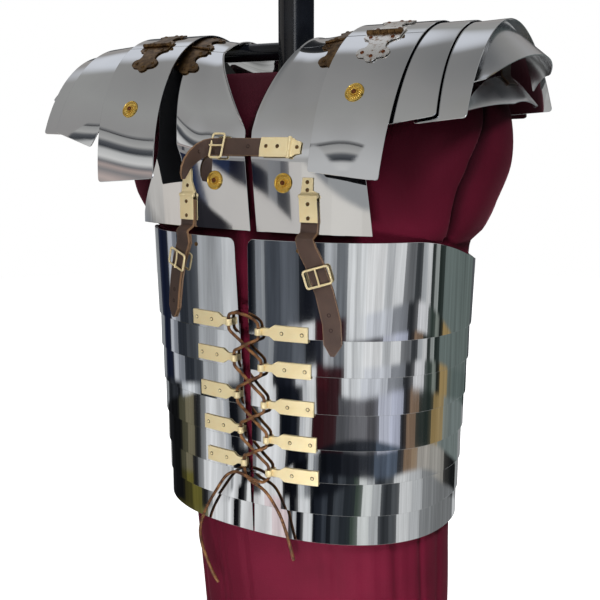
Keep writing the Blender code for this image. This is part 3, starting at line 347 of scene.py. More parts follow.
# Torso form: a limbless display torso, its bust and shoulder stubs padded, under a
# burgundy cotton jersey cover that is pulled down over it. The knit is stretched over the
# chest, gathers in a deep crease beside each shoulder stub, and falls in soft upright
# folds below the armour's hem. A dark board closes the form's foot.
FORM_SECTIONS = (
    # height, middle x, half width, half depth
    (0.000, 0.020, 0.151, 0.108), (0.060, 0.018, 0.152, 0.114), (0.150, 0.013, 0.155, 0.119),
    (0.300, 0.004, 0.173, 0.125), (0.400, 0.000, 0.184, 0.124), (0.462, 0.000, 0.1865, 0.116),
    (0.474, -0.002, 0.2000, 0.113), (0.490, -0.006, 0.2165, 0.109),
    (0.512, -0.009, 0.2310, 0.107), (0.550, -0.007, 0.242, 0.104), (0.595, 0.000, 0.233, 0.090),
    (0.615, 0.000, 0.222, 0.076), (0.632, -0.004, 0.190, 0.060), (0.644, -0.010, 0.150, 0.046))
RING_POWER = 2.3
FOLDS = (
    # bearing and height of the upper end, of the lower end, depth, half width in degrees
    (100.0, 0.610, 96.0, 0.480, 0.0050, 3.0), (-104.0, 0.610, -97.0, 0.480, 0.0050, 3.0),
    (63.0, 0.520, 70.0, 0.462, 0.0020, 3.0), (-60.0, 0.520, -68.0, 0.462, 0.0020, 3.0),
    (-35.0, 0.170, -34.0, 0.000, 0.0016, 1.3), (-30.0, 0.160, -29.0, 0.010, 0.0013, 1.2),
    (-14.0, 0.160, -12.5, 0.020, 0.0012, 1.8), (29.0, 0.170, 31.0, 0.000, 0.0026, 1.3),
    (38.0, 0.180, 40.0, 0.000, 0.0024, 1.7), (50.0, 0.160, 52.0, 0.000, 0.0014, 1.6),
    (57.5, 0.165, 58.5, 0.000, 0.0016, 1.3), (65.0, 0.180, 67.0, 0.000, 0.0048, 2.2),
    (70.5, 0.170, 71.5, 0.000, 0.0024, 1.1), (77.5, 0.180, 79.0, 0.000, 0.0034, 1.4),
    (92.0, 0.170, 90.0, 0.000, 0.0024, 2.0), (118.0, 0.180, 115.0, 0.000, 0.0030, 2.4),
    (139.0, 0.170, 141.0, 0.000, 0.0022, 1.8), (163.0, 0.175, 160.0, 0.000, 0.0030, 2.2),
    (-171.0, 0.180, -174.0, 0.000, 0.0020, 1.6), (-148.0, 0.175, -146.0, 0.000, 0.0032, 2.2),
    (-122.0, 0.170, -124.0, 0.000, 0.0020, 1.6), (-96.0, 0.180, -95.0, 0.000, 0.0034, 2.2),
    (-76.0, 0.170, -77.0, 0.000, 0.0022, 1.6), (-55.0, 0.175, -53.0, 0.000, 0.0026, 1.8))

# the deep crease beside each stub: bearing by height, from the crown down, and how deep and
# how wide in degrees its broad hollow and its sharp middle are
CREASE = {1: ((0.640, 86.5), (0.5860, 83.5), (0.5520, 79.9), (0.5240, 78.4), (0.5020, 78.6),
              (0.4600, 80.9)),
          -1: ((0.640, 86.0), (0.5900, 84.0), (0.5500, 82.6), (0.5250, 80.8), (0.5000, 79.6),
               (0.4600, 80.6))}
CREASE_FOOT, CREASE_HEAD = 0.460, 0.636
HOLLOW_DEEP, HOLLOW_WIDE, MIDDLE_DEEP, MIDDLE_WIDE = 0.0060, 3.8, 0.0110, 0.85
# the cloth lies smooth under the girdle, and swells a little over its upper edge
GIRDLED, BULGE_Z, BULGE_OUT, BULGE_HIGH = (0.20, 0.462), 0.479, 0.0015, 0.0035
FOLD_FADE = 0.03


def smooth(t):
    """A share eased between 0 and 1, flat at both ends."""
    t = min(max(t, 0.0), 1.0)
    return t * t * (3 - 2 * t)


def ring_point(phi, half_a, half_b):
    """Plan point of the body's rounded oval at a bearing, 0 in front and + to the left."""
    side, ahead = math.sin(phi), math.cos(phi)
    total = abs(side / half_a) ** RING_POWER + abs(ahead / half_b) ** RING_POWER
    reach = total ** (-1 / RING_POWER)
    return reach * side, -reach * ahead


def form_section(z):
    """Middle, half width and half depth of the form at a height, eased between the rows."""
    rows = FORM_SECTIONS
    i = max(k for k in range(len(rows) - 1) if rows[k][0] <= z + 1e-9)
    before, low, high = rows[max(i - 1, 0)], rows[i], rows[i + 1]
    after = rows[min(i + 2, len(rows) - 1)]
    step = high[0] - low[0]
    t = (z - low[0]) / step
    values = []
    for k in (1, 2, 3):
        first = (high[k] - before[k]) / (high[0] - before[0]) * step
        last = (after[k] - low[k]) / (after[0] - low[0]) * step
        values.append(low[k] * (2 * t ** 3 - 3 * t ** 2 + 1) + first * (t ** 3 - 2 * t ** 2 + t)
                      + high[k] * (3 * t ** 2 - 2 * t ** 3) + last * (t ** 3 - t ** 2))
    return values


def crease_share(phi, z):
    """How deep in the crease beside a stub a point of the cloth lies, broadly and sharply."""
    path = CREASE[1 if phi % (2 * math.pi) < math.pi else -1]
    for (top_z, top_at), (foot_z, foot_at) in zip(path, path[1:]):
        if foot_z <= z <= top_z:
            at = foot_at + (top_at - foot_at) * (z - foot_z) / (top_z - foot_z)
            off = 180 - abs(180 - math.degrees(phi) % 360) - at
            ends = smooth((z - CREASE_FOOT) / 0.012) * smooth((CREASE_HEAD - z) / FOLD_FADE)
            return (ends * math.exp(-(off / HOLLOW_WIDE) ** 2),
                    ends * math.exp(-(off / MIDDLE_WIDE) ** 2))
    return 0.0, 0.0


def form_point(phi, z):
    """Point of the cloth at a bearing and height, with its folds and creases sunk in."""
    middle, half_a, half_b = form_section(z)
    sunk = 0.0
    for top_at, top_z, foot_at, foot_z, depth, wide in FOLDS:
        share = (z - foot_z) / (top_z - foot_z)
        at = foot_at + (top_at - foot_at) * share
        off = (math.degrees(phi) - at + 180) % 360 - 180
        wide *= 0.75 + 0.5 * share
        if abs(off) < 3 * wide:
            foot_share = smooth((z - foot_z) / FOLD_FADE + (1 if foot_z == 0 else 0))
            ends = foot_share * smooth((top_z - z) / FOLD_FADE)
            sunk += depth * ends * math.exp(-(off / wide) ** 2)
    if GIRDLED[0] < z < GIRDLED[1]:
        sunk = 0.0
    elif z >= GIRDLED[1]:
        broad, sharp = crease_share(phi, z)
        sunk += HOLLOW_DEEP * broad + MIDDLE_DEEP * sharp
    swell = BULGE_OUT * math.exp(-((z - BULGE_Z) / BULGE_HIGH) ** 2)
    x, y = ring_point(phi, half_a - sunk + swell, half_b - sunk * 0.9)
    return Vector((middle + x, y, z))


def new_piece(name, bm, material, slot, *nodes, sharp=45):
    """Make a finished piece of a bmesh: it rides on the armour and may replace CAD nodes."""
    mesh = bpy.data.meshes.new(name)
    bm.to_mesh(mesh)
    bm.free()
    piece = bpy.data.objects.new(name, mesh)
    bpy.context.collection.objects.link(piece)
    mesh.materials.append(material)
    mesh.shade_smooth()
    mesh.set_sharp_from_angle(angle=math.radians(sharp))
    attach(piece, "root")
    if nodes:
        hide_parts(*nodes)
    return piece


# Cotton jersey: dyed burgundy, matt, with a soft pile that lightens where it turns away.
# Its loops are 0.6 mm apart, drawn as ribs 3 mm apart so that they show.
jersey, tree, shader = new_material("burgundy_cotton_jersey", {
    "Sheen Weight": 0.12, "Sheen Roughness": 0.4, "Sheen Tint": srgb("#d07a8c"),
    "Specular IOR Level": 0.25})
spot = add(tree, "ShaderNodeTexCoord").outputs["Object"]
cloudy = add(tree, "ShaderNodeTexNoise", {"Scale": 14.0, "Detail": 5.0}, {"Vector": spot})
dye = add(tree, "ShaderNodeMix", {"data_type": "RGBA", 6: srgb("#430b1a"), 7: srgb("#62152b")},
          {0: cloudy.outputs["Fac"]})
# painted shade: the cloth is painted near black down the middle of each deep crease
deepest = add(tree, "ShaderNodeAttribute", {"attribute_name": "hollow"})
dye = add(tree, "ShaderNodeMix", {"data_type": "RGBA", 7: srgb("#0e0306")},
          {0: deepest.outputs["Fac"], 6: dye.outputs[2]})
# painted shade: the cloth is painted darker towards the top, below the guards and in the neck,
# where they shade it
level = add(tree, "ShaderNodeSeparateXYZ", {}, {0: spot})
covered = add(tree, "ShaderNodeMapRange", {"From Min": 0.42, "From Max": 0.61, "To Min": 0.0,
              "To Max": 0.78}, {"Value": level.outputs["Z"]})
dye = add(tree, "ShaderNodeMix", {"data_type": "RGBA", 7: srgb("#16050a")},
          {0: covered.outputs[0], 6: dye.outputs[2]})
tree.links.new(dye.outputs[2], shader.inputs["Base Color"])
fluff = add(tree, "ShaderNodeTexNoise", {"Scale": 700.0, "Detail": 2.0}, {"Vector": spot})
rough = add(tree, "ShaderNodeMapRange", {"To Min": 0.78, "To Max": 0.95},
            {"Value": fluff.outputs["Fac"]})
tree.links.new(rough.outputs[0], shader.inputs["Roughness"])
ribs = add(tree, "ShaderNodeTexWave", {"Scale": 100.0, "Distortion": 1.2, "Detail": 1.0,
           "Detail Scale": 3.0}, {"Vector": spot})
pull = add(tree, "ShaderNodeTexNoise", {"Scale": 28.0, "Detail": 4.0}, {"Vector": spot})
relief = add(tree, "ShaderNodeMath", {"operation": "MULTIPLY_ADD", 1: 0.07},
             {0: ribs.outputs["Fac"], 2: pull.outputs["Fac"]})
relief = add(tree, "ShaderNodeMath", {"operation": "MULTIPLY_ADD", 1: 0.3},
             {0: fluff.outputs["Fac"], 2: relief.outputs[0]})
raised = add(tree, "ShaderNodeBump", {"Strength": 0.35, "Distance": 0.0016},
             {"Height": relief.outputs[0]})
tree.links.new(raised.outputs[0], shader.inputs["Normal"])

COVER_GIRTH, CLOTH, COVER_FOOT, COVER_HIGH = 1.06, 0.0012, 0.0004, 0.6436
CROWN_Z, CROWN_X, CROWN_SHRINK = 0.6438, -0.010, (0.90, 0.80)
# the grid's columns lie closer beside the deep creases, all in degrees
COLUMN, FINE_COLUMN, FINE_FROM, FINE_TO, LAST_COLUMN = 1.6, 0.33, 76, 90, 358.8
bearings = [0.0]
while bearings[-1] < LAST_COLUMN:
    beside = FINE_FROM < 180 - abs(180 - bearings[-1]) < FINE_TO
    bearings.append(bearings[-1] + (FINE_COLUMN if beside else COLUMN))
bm = bmesh.new()
# how much painted shade each point of the cloth gets in the middle of a crease
hollow = bm.verts.layers.float.new("hollow")
bmesh.ops.create_grid(bm, x_segments=len(bearings), y_segments=104, size=0.5)
for vert in bm.verts:
    height = (vert.co.y + 0.5) * COVER_HIGH + COVER_FOOT
    phi = math.radians(bearings[round((vert.co.x + 0.5) * len(bearings)) % len(bearings)])
    vert.co = form_point(phi, height)
    vert[hollow] = crease_share(phi, height)[1] ** 0.5
bmesh.ops.remove_doubles(bm, verts=bm.verts, dist=1e-5)
crown = [edge for edge in bm.edges if edge.is_boundary and edge.verts[0].co.z > 0.6]
turned_in = bmesh.ops.extrude_edge_only(bm, edges=crown)["geom"]
for vert in (item for item in turned_in if isinstance(item, bmesh.types.BMVert)):
    x = CROWN_X + (vert.co.x - CROWN_X) * CROWN_SHRINK[0]
    vert.co = Vector((x, vert.co.y * CROWN_SHRINK[1], CROWN_Z))
rim = [edge for edge in bm.edges if edge.is_boundary and edge.verts[0].co.z > 0.6]
bmesh.ops.contextual_create(bm, geom=rim)
bmesh.ops.recalc_face_normals(bm, faces=bm.faces)
cloth_area = sum(face.calc_area() for face in bm.faces)
cover = new_piece("jersey_cover", bm, jersey, "burgundy_jersey", "torso_form", sharp=60)
skin = cover.modifiers.new("cloth", "SOLIDIFY")
skin.thickness = CLOTH
skin.offset = -1.0


def mottled(name, settings, scale, detail, shades, levels=None, rough=None):
    """A material that goes from one shade to the other in patches about 1 / scale metres
    apart, between two levels of their pattern, and with them from one roughness to the
    other. Gives the material, its tree, its shader, its coordinates and the pattern."""
    material, tree, shader = new_material(name, settings)
    spot = add(tree, "ShaderNodeTexCoord").outputs["Object"]
    patches = add(tree, "ShaderNodeTexNoise", {"Scale": scale, "Detail": detail},
                  {"Vector": spot}).outputs["Fac"]
    share = patches
    if levels:
        share = add(tree, "ShaderNodeMapRange", {"From Min": levels[0], "From Max": levels[1]},
                    {"Value": patches}).outputs[0]
    tone = add(tree, "ShaderNodeMix", {"data_type": "RGBA", 6: srgb(shades[0]),
               7: srgb(shades[1])}, {0: share})
    tree.links.new(tone.outputs[2], shader.inputs["Base Color"])
    if rough:
        dull = add(tree, "ShaderNodeMapRange", {"To Min": rough[0], "To Max": rough[1]},
                   {"Value": patches})
        tree.links.new(dull.outputs[0], shader.inputs["Roughness"])
    return material, tree, shader, spot, patches


# Painted plywood: flat matt black, closing the foot
BOARD_HALF, BOARD_X, BOARD_THICK = (0.1485, 0.1055), 0.020, 0.009
board_black = mottled("black_painted_plywood", {"Roughness": 0.7}, 60.0, 4.0,
                      ("#1b1a1a", "#2a2827"))[0]
bm = bmesh.new()
bmesh.ops.create_circle(bm, cap_ends=True, segments=96, radius=1.0)
for vert in bm.verts:
    x, y = ring_point(math.atan2(vert.co.x, -vert.co.y), *BOARD_HALF)
    vert.co = Vector((BOARD_X + x, y, 0.0))
raised = bmesh.ops.extrude_face_region(bm, geom=list(bm.faces))["geom"]
bmesh.ops.translate(bm, verts=[v for v in raised if isinstance(v, bmesh.types.BMVert)],
                    vec=(0, 0, BOARD_THICK))
bmesh.ops.recalc_face_normals(bm, faces=bm.faces)
new_piece("form_board", bm, board_black, "black_paint")


# Stand: a steel pole stands on the form's crown, with a crossbar through it under the
# collar plates. Both are sprayed gloss black, which shows a long upright highlight.
POLE_X, POLE_R, POLE_FOOT, POLE_TOP, POLE_EASE = -0.020, 0.020, 0.6453, 0.752, 0.0015
BAR_R, BAR_Y, BAR_Z, BAR_HALF, BAR_EASE = 0.010, 0.004, 0.670, 0.105, 0.001


def turned(bm, profile, sides, matrix):
    """Add a turned body to a bmesh: a profile of radius and height spun round Z."""
    verts = [bm.verts.new(matrix @ Vector((radius, 0, height))) for radius, height in profile]
    edges = [bm.edges.new(pair) for pair in zip(verts, verts[1:])]
    axis = matrix.to_3x3() @ Vector((0, 0, 1))
    bmesh.ops.spin(bm, geom=verts + edges, cent=matrix.translation, axis=axis,
                   angle=2 * math.pi, steps=sides, use_merge=True)
    bmesh.ops.remove_doubles(bm, verts=bm.verts, dist=1e-7)


# Spray paint: gloss black, a little orange-peeled, its film uneven in thickness
gloss_black, tree, shader, spot, _ = mottled(
    "gloss_black_spray_paint",
    {"Specular IOR Level": 0.2, "Coat Weight": 0.25, "Coat Roughness": 0.10}, 45.0, 5.0,
    ("#08090c", "#12151b"), rough=(0.16, 0.34))
peel = add(tree, "ShaderNodeTexNoise", {"Scale": 300.0}, {"Vector": spot})
raised = add(tree, "ShaderNodeBump", {"Strength": 0.08, "Distance": 0.0004},
             {"Height": peel.outputs["Fac"]})
tree.links.new(raised.outputs[0], shader.inputs["Normal"])

bm = bmesh.new()
length = POLE_TOP - POLE_FOOT
turned(bm, ((0.0, 0.0), (POLE_R, 0.0), (POLE_R, length - POLE_EASE), (POLE_R - POLE_EASE, length),
            (0.0, length)), 64, Matrix.Translation((POLE_X, 0, POLE_FOOT)))
bar_end = Matrix.Translation((POLE_X - BAR_HALF, BAR_Y, BAR_Z))
length = 2 * BAR_HALF
turned(bm, ((0.0, 0.0), (BAR_R - BAR_EASE, 0.0), (BAR_R, BAR_EASE), (BAR_R, length - BAR_EASE),
            (BAR_R - BAR_EASE, length), (0.0, length)), 32,
       bar_end @ Matrix.Rotation(math.pi / 2, 4, "Y"))
bmesh.ops.recalc_face_normals(bm, faces=bm.faces)
new_piece("pole_and_crossbar", bm, gloss_black, "black_paint", "stand_pole", sharp=35)


# Girdle: seven pairs of half hoops of polished mild steel sheet 1.2 mm thick, each tucked
# up behind the one above and riveted to leathers inside. The top pair is deep, has rounded
# corners at the lacing, and is cut lower under the arms.
HEM_Z, GIRDLE_H = 0.150, 0.3215
GIRDLE_TOP, GIRDLE_HEM = (0.190, 0.138), (0.172, 0.1242)
HOOP_SHOWN = (0.1000, 0.0385, 0.0400, 0.0385, 0.0365, 0.0355, 0.0325)
HOOP_LAP, HOOP_FLARE = 0.010, 0.0021
LACING_X_TOP, LACING_X_HEM, LACING_GAP_TOP, LACING_GAP_HEM = 0.0025, 0.0080, 0.0165, 0.0012
CORNER_R, ARMPIT_CUT = 0.008, 0.030
ARMPIT_MID, ARMPIT_SPAN = math.radians(112), math.radians(46)
BACK_GAP = 0.0005
STEEL, BRASS, LEATHER, CLEAR = 0.0012, 0.0012, 0.0024, 0.0003
SIDES = ((1, "left"), (-1, "right"))
RIVET_SIDES, RIVET_RINGS = 18, 10


def hoop_levels(number):
    """Lower and upper edge of a hoop, 0 for the top one."""
    top = HEM_Z + GIRDLE_H - sum(HOOP_SHOWN[:number])
    return top - HOOP_SHOWN[number], top + (HOOP_LAP if number else 0.0)


def girdle_point(phi, z, number, out=0.0):
    """Point of a hoop's inner face, moved out from it."""
    part = (z - HEM_Z) / GIRDLE_H
    low, high = hoop_levels(number)
    out += HOOP_FLARE * (high - z) / (high - low)
    half_a, half_b = (foot + (head - foot) * part + out
                      for foot, head in zip(GIRDLE_HEM, GIRDLE_TOP))
    x, y = ring_point(phi, half_a, half_b)
    return Vector((x, y, z))


def front_bearing(x, z, number, out=0.0):
    """Bearing of the hoop's point that has a given x, near the front."""
    phi = 0.0
    for _ in range(12):
        point = girdle_point(phi, z, number, out)
        phi += (x - point.x) / -point.y
    return phi


def steps(count):
    """Even fractions from 0 to 1."""
    return [i / count for i in range(count + 1)]


def bent_sheet(name, across, along, place, wall, inside, material, slot, *nodes, edge=0.0003,
               lining=None):
    """A sheet cut and bent to shape: a grid laid by place(u, v), its wall raised away from
    inside and its edges eased. across and along are rising fractions from 0 to 1, and
    lining is the material of the inner face where that differs."""
    bm = bmesh.new()
    bm.loops.layers.uv.new("UVMap")
    bmesh.ops.create_grid(bm, x_segments=len(across) - 1, y_segments=len(along) - 1, size=0.5,
                          calc_uvs=True)
    for vert in bm.verts:
        u = across[round((vert.co.x + 0.5) * (len(across) - 1))]
        v = along[round((vert.co.y + 0.5) * (len(along) - 1))]
        vert.co = place(u, v)
    bm.normal_update()
    if sum(face.normal.dot(face.calc_center_median() - inside) for face in bm.faces) < 0:
        bmesh.ops.reverse_faces(bm, faces=bm.faces)
    piece = new_piece(name, bm, material, slot, *nodes)
    thick = piece.modifiers.new("wall", "SOLIDIFY")
    thick.thickness, thick.offset, thick.use_even_offset = wall, 1.0, True
    ease = piece.modifiers.new("edge", "BEVEL")
    ease.width, ease.segments, ease.limit_method = edge, 2, "ANGLE"
    ease.angle_limit = math.radians(60)
    bpy.context.view_layer.update()
    made = piece.evaluated_get(bpy.context.evaluated_depsgraph_get())
    piece.data = bpy.data.meshes.new_from_object(made)
    piece.modifiers.clear()
    number = piece.data.attributes.new("sheet", "FLOAT", "POINT")
    number.data.foreach_set("value", [float(len(bpy.data.objects))] * len(piece.data.vertices))
    if lining:
        piece.data.materials.append(lining)
        for face in piece.data.polygons:
            face.material_index = 1 if face.normal.dot(face.center - inside) < 0 else 0
    piece.data.shade_smooth()
    piece.data.set_sharp_from_angle(angle=math.radians(18))
    return piece


# Polished mild steel: mirror bright, neutral, rolled and bent by hand so that its
# reflections wander a little, with a few dull smears that are seen up close.
steel, tree, shader = new_material("polished_mild_steel", {"Metallic": 1.0})
spot = add(tree, "ShaderNodeTexCoord").outputs["Object"]
smear = add(tree, "ShaderNodeTexNoise", {"Scale": 14.0, "Detail": 6.0, "Roughness": 0.6},
            {"Vector": spot})
tone = add(tree, "ShaderNodeMix", {"data_type": "RGBA", 6: srgb("#d6d8da"), 7: srgb("#e3e4e5")},
           {0: smear.outputs["Fac"]})
tree.links.new(tone.outputs[2], shader.inputs["Base Color"])
rough = add(tree, "ShaderNodeMapRange", {"From Min": 0.35, "From Max": 0.7, "To Min": 0.012,
            "To Max": 0.05}, {"Value": smear.outputs["Fac"]})
tree.links.new(rough.outputs[0], shader.inputs["Roughness"])
# waves 110 mm apart round the body and 500 mm apart up it, different on every sheet
sheet = add(tree, "ShaderNodeAttribute", {"attribute_name": "sheet"})
other = add(tree, "ShaderNodeVectorMath", {"operation": "MULTIPLY_ADD", 1: (0.37, 0.59, 0.83)},
            {0: sheet.outputs["Vector"], 2: spot})
waves = add(tree, "ShaderNodeMapping", {"Scale": (9.0, 9.0, 2.0)}, {"Vector": other.outputs[0]})
planish = add(tree, "ShaderNodeTexNoise", {"Scale": 1.0, "Detail": 0.0},
              {"Vector": waves.outputs[0]})
wander = add(tree, "ShaderNodeBump", {"Strength": 1.0, "Distance": 0.0070},
             {"Height": planish.outputs["Fac"]})
tree.links.new(wander.outputs[0], shader.inputs["Normal"])

for side, label in SIDES:
    for number in range(7):
        low, high = hoop_levels(number)

        def place(u, v):
            z = low + (high - low) * v
            part = (z - HEM_Z) / GIRDLE_H
            gap = LACING_GAP_HEM + (LACING_GAP_TOP - LACING_GAP_HEM) * part
            edge_x = LACING_X_HEM + (LACING_X_TOP - LACING_X_HEM) * part + side * gap / 2
            start = front_bearing(edge_x, z, number)
            end = side * (math.pi - BACK_GAP / GIRDLE_HEM[1])
            phi = start + (end - start) * u
            if number == 0:
                z -= v * ARMPIT_CUT * smooth(1 - abs(abs(phi) - ARMPIT_MID) / ARMPIT_SPAN)
                along = abs(phi - start) * GIRDLE_TOP[1]
                if along < CORNER_R:
                    z -= v ** 4 * (CORNER_R - math.sqrt(CORNER_R ** 2 - (CORNER_R - along) ** 2))
            return girdle_point(phi, z, number)

        # the top hoop has more columns and rows, for its rounded corners
        columns = sorted(steps(108) + ([] if number else [0.001, 0.003, 0.006, 0.012]))
        rows = [0.0, 0.33, 0.67, 1.0] if number else [0.0, 0.3, 0.6, 0.8, 0.92, 1.0]
        bent_sheet(f"hoop_{number + 1}_{label}", columns, rows, place, STEEL,
                   Vector((0, 0, (low + high) / 2)), steel, "polished_steel",
                   f"girdle_hoop_{number + 1}_{label}")


# Ties: five pairs of sawn brass strips, tapered to a neck that is rolled into an upright
# loop for the lace. Each is held by two rivets near its hoop's lower edge.
TIE_LENGTH, TIE_HEIGHT, TIE_NECK = 0.037, 0.016, 0.008
TIE_LIFT = {1: -0.0035, -1: 0.0030}
LOOP_X = {1: (0.0250, 0.0270, 0.0292, 0.0309, 0.0321),
          -1: (-0.0124, -0.0070, -0.0048, -0.0016, 0.0011)}
LOOP_R, LOOP_BORE, LOOP_H, LOOP_EASE = 0.0036, 0.0024, 0.0070, 0.0003
# along the strip from its loop's middle: where it starts, where it begins to widen and where
# it has its full width, and at which shares of its length from there its two rivets are
TIE_START, TIE_WIDENS, TIE_FULL = 0.0015, 0.011, 0.017
TIE_RIVETS = (0.24, 0.84)


def tie_height(number, side):
    """Height of a tie's middle."""
    return hoop_levels(number)[0] + TIE_HEIGHT / 2 + TIE_LIFT[side]


def loop_centre(number, side):
    """Middle of a tie's loop, which stands off its hoop."""
    z, x = tie_height(number, side), LOOP_X[side][number]
    out = STEEL + CLEAR + LOOP_R
    return girdle_point(front_bearing(x, z, number, out), z, number, out + 0.0004)


def standing(point_at, x, z, out):
    """Place and turn of a small piece on a surface: its Z points off the surface."""
    step = 0.002
    across = (point_at(x + step, z, out) - point_at(x - step, z, out)).normalized()
    up = (point_at(x, z + step, out) - point_at(x, z - step, out)).normalized()
    off = across.cross(up).normalized()
    if off.dot(point_at(x, z, out + 0.01) - point_at(x, z, out)) < 0:
        off.negate()
    up = off.cross(across)
    matrix = Matrix((across, up, off)).transposed().to_4x4()
    matrix.translation = point_at(x, z, out)
    return matrix


def rivet(bm, matrix, radius, height):
    """Add a domed rivet head that is sunk to its middle."""
    shape = matrix @ Matrix.Diagonal((radius, radius, height, 1.0))
    bmesh.ops.create_uvsphere(bm, u_segments=RIVET_SIDES, v_segments=RIVET_RINGS, radius=1.0,
                              matrix=shape)


# Pale brass: rolled sheet, drawn over fine abrasive so that its lines run along the strip
pale_brass, tree, shader, spot, _ = mottled("brushed_pale_brass", {"Metallic": 0.72}, 90.0, 4.0,
                                            ("#fbe3ab", "#fff1c8"))
buff = add(tree, "ShaderNodeMapping", {"Scale": (60.0, 60.0, 1500.0)}, {"Vector": spot})
lines = add(tree, "ShaderNodeTexNoise", {"Scale": 1.0, "Detail": 2.0},
            {"Vector": buff.outputs[0]})
rough = add(tree, "ShaderNodeMapRange", {"To Min": 0.38, "To Max": 0.60},
            {"Value": lines.outputs["Fac"]})
tree.links.new(rough.outputs[0], shader.inputs["Roughness"])
raised = add(tree, "ShaderNodeBump", {"Strength": 0.15, "Distance": 0.0001},
             {"Height": lines.outputs["Fac"]})
tree.links.new(raised.outputs[0], shader.inputs["Normal"])

# Aged brass: cast and pickled, brown in its hollows and rubbed yellow on top
aged_brass, tree, shader, spot, stain = mottled(
    "aged_cast_brass", {"Metallic": 1.0}, 160.0, 5.0, ("#54402d", "#8d6f4a"),
    levels=(0.35, 0.7), rough=(0.50, 0.30))
raised = add(tree, "ShaderNodeBump", {"Strength": 0.25, "Distance": 0.0003}, {"Height": stain})
tree.links.new(raised.outputs[0], shader.inputs["Normal"])

tie_rivets, tie_washers = bmesh.new(), bmesh.new()
for side, label in SIDES:
    for number in range(5):
        z_mid, inner = tie_height(number, side), LOOP_X[side][number]

        def on_hoop(x, z, out):
            return girdle_point(front_bearing(x, z, number, out), z, number, out)

        def place(u, v):
            along = TIE_START + (TIE_FULL - TIE_START + TIE_LENGTH) * u
            part = (along - TIE_WIDENS) / (TIE_FULL - TIE_WIDENS)
            height = TIE_NECK + (TIE_HEIGHT - TIE_NECK) * min(max(part, 0.0), 1.0)
            return on_hoop(inner + side * along, z_mid + height * (v - 0.5), STEEL + 2 * CLEAR)

        # stations along the strip, closer where it widens from its neck
        cuts = [0.0, 0.09, 0.175, 0.184, 0.22, 0.255, 0.29] + [0.3 + 0.7 * t for t in steps(12)]
        bent_sheet(f"tie_strip_{number + 1}_{label}", cuts, steps(4), place, BRASS,
                   Vector((0, 0, z_mid)), pale_brass, "pale_brass", f"tie_{number + 1}_{label}",
                   edge=0.00035)
        loop = bmesh.new()
        foot = Matrix.Translation(loop_centre(number, side) - Vector((0, 0, LOOP_H / 2)))
        turned(loop, ((LOOP_BORE, 0.0), (LOOP_R - LOOP_EASE, 0.0), (LOOP_R, LOOP_EASE),
                      (LOOP_R, LOOP_H - LOOP_EASE), (LOOP_R - LOOP_EASE, LOOP_H),
                      (LOOP_BORE, LOOP_H), (LOOP_BORE, 0.0)), 32, foot)
        bmesh.ops.recalc_face_normals(loop, faces=loop.faces)
        new_piece(f"tie_loop_{number + 1}_{label}", loop, pale_brass, "pale_brass")
        for share in TIE_RIVETS:
            x = inner + side * (TIE_FULL + TIE_LENGTH * share)
            at = standing(on_hoop, x, z_mid, STEEL + 2 * CLEAR + BRASS)
            # a wider, flatter dome of dark aged brass under each head rings it
            rivet(tie_washers, at, 0.0021, 0.0006)
            rivet(tie_rivets, at, 0.0015, 0.0013)
new_piece("tie_rivet_dark_rings", tie_washers, aged_brass, "aged_brass")
new_piece("tie_rivets", tie_rivets, pale_brass, "pale_brass")


# Lace: one round thong of brown hide, rough and paler where it rubs. It crosses from side
# to side down the ties, and its two bare ends hang from the lowest pair.
LACE_R, LACE_BULGE, LACE_LEAD, LACE_OFF, LACE_PULL = 0.00175, 0.0023, 0.0058, 0.0028, 2.2
LACE_OVER = 0.030
TAIL_RIGHT = (
    # from the lowest ties down to the bare end, towards the wearer's right
    (0.0290, -0.1400, 0.2135), (0.0200, -0.1422, 0.2150), (0.0095, -0.1427, 0.2178),
    (-0.0020, -0.1410, 0.2190), (-0.0125, -0.1380, 0.2165), (-0.0243, -0.1360, 0.2080),
    (-0.0380, -0.1335, 0.1900), (-0.0500, -0.1310, 0.1730), (-0.0600, -0.1290, 0.1560),
    (-0.0660, -0.1280, 0.1400), (-0.0665, -0.1280, 0.1270), (-0.0626, -0.1285, 0.1140),
    (-0.0560, -0.1290, 0.1010), (-0.0490, -0.1290, 0.0880), (-0.0410, -0.1290, 0.0780))
TAIL_LEFT = (
    (0.0045, -0.1368, 0.2165), (0.0115, -0.1370, 0.2108), (0.0200, -0.1372, 0.2080),
    (0.0280, -0.1374, 0.2045), (0.0345, -0.1370, 0.1990), (0.0413, -0.1355, 0.1890),
    (0.0477, -0.1335, 0.1765), (0.0527, -0.1315, 0.1610), (0.0575, -0.1305, 0.1450),
    (0.0615, -0.1300, 0.1300))


def arc(start, start_pull, end, end_pull, parts):
    """Points between start and end of a Hermite curve, both ends left out."""
    points = []
    for i in range(1, parts):
        t = i / parts
        points.append(start * (2 * t ** 3 - 3 * t ** 2 + 1) + end * (3 * t ** 2 - 2 * t ** 3)
                      + start_pull * (t ** 3 - 2 * t ** 2 + t) + end_pull * (t ** 3 - t ** 2))
    return points


def strand(side, ahead_first):
    """Points of one strand, from a top loop across to the other side and down."""
    lead = Vector((0, 0, LACE_LEAD))
    points = []
    for number in range(5):
        centre = loop_centre(number, side)
        top, foot = centre + lead, centre - lead
        if number:
            above = points[-1]
            ahead = LACE_BULGE if (number % 2 == 1) == ahead_first else -LACE_BULGE
            middle = (above + top) / 2 + Vector((0, -LACE_OFF - ahead, 0))
            across = (top - above) * 0.9
            points += arc(above, lead * -LACE_PULL, middle, across, 5) + [middle]
            points += arc(middle, across, top, lead * -LACE_PULL, 5)
        points += [top, centre, foot]
        side = -side
    return points


def rounded(points):
    """The same route with three more points on each stretch, eased between them."""
    route = []
    for i in range(len(points) - 1):
        start, end = points[i], points[i + 1]
        before, after = points[max(i - 1, 0)], points[min(i + 2, len(points) - 1)]
        route += [start] + arc(start, (end - before) / 2, end, (after - start) / 2, 4)
    return route + [points[-1]]


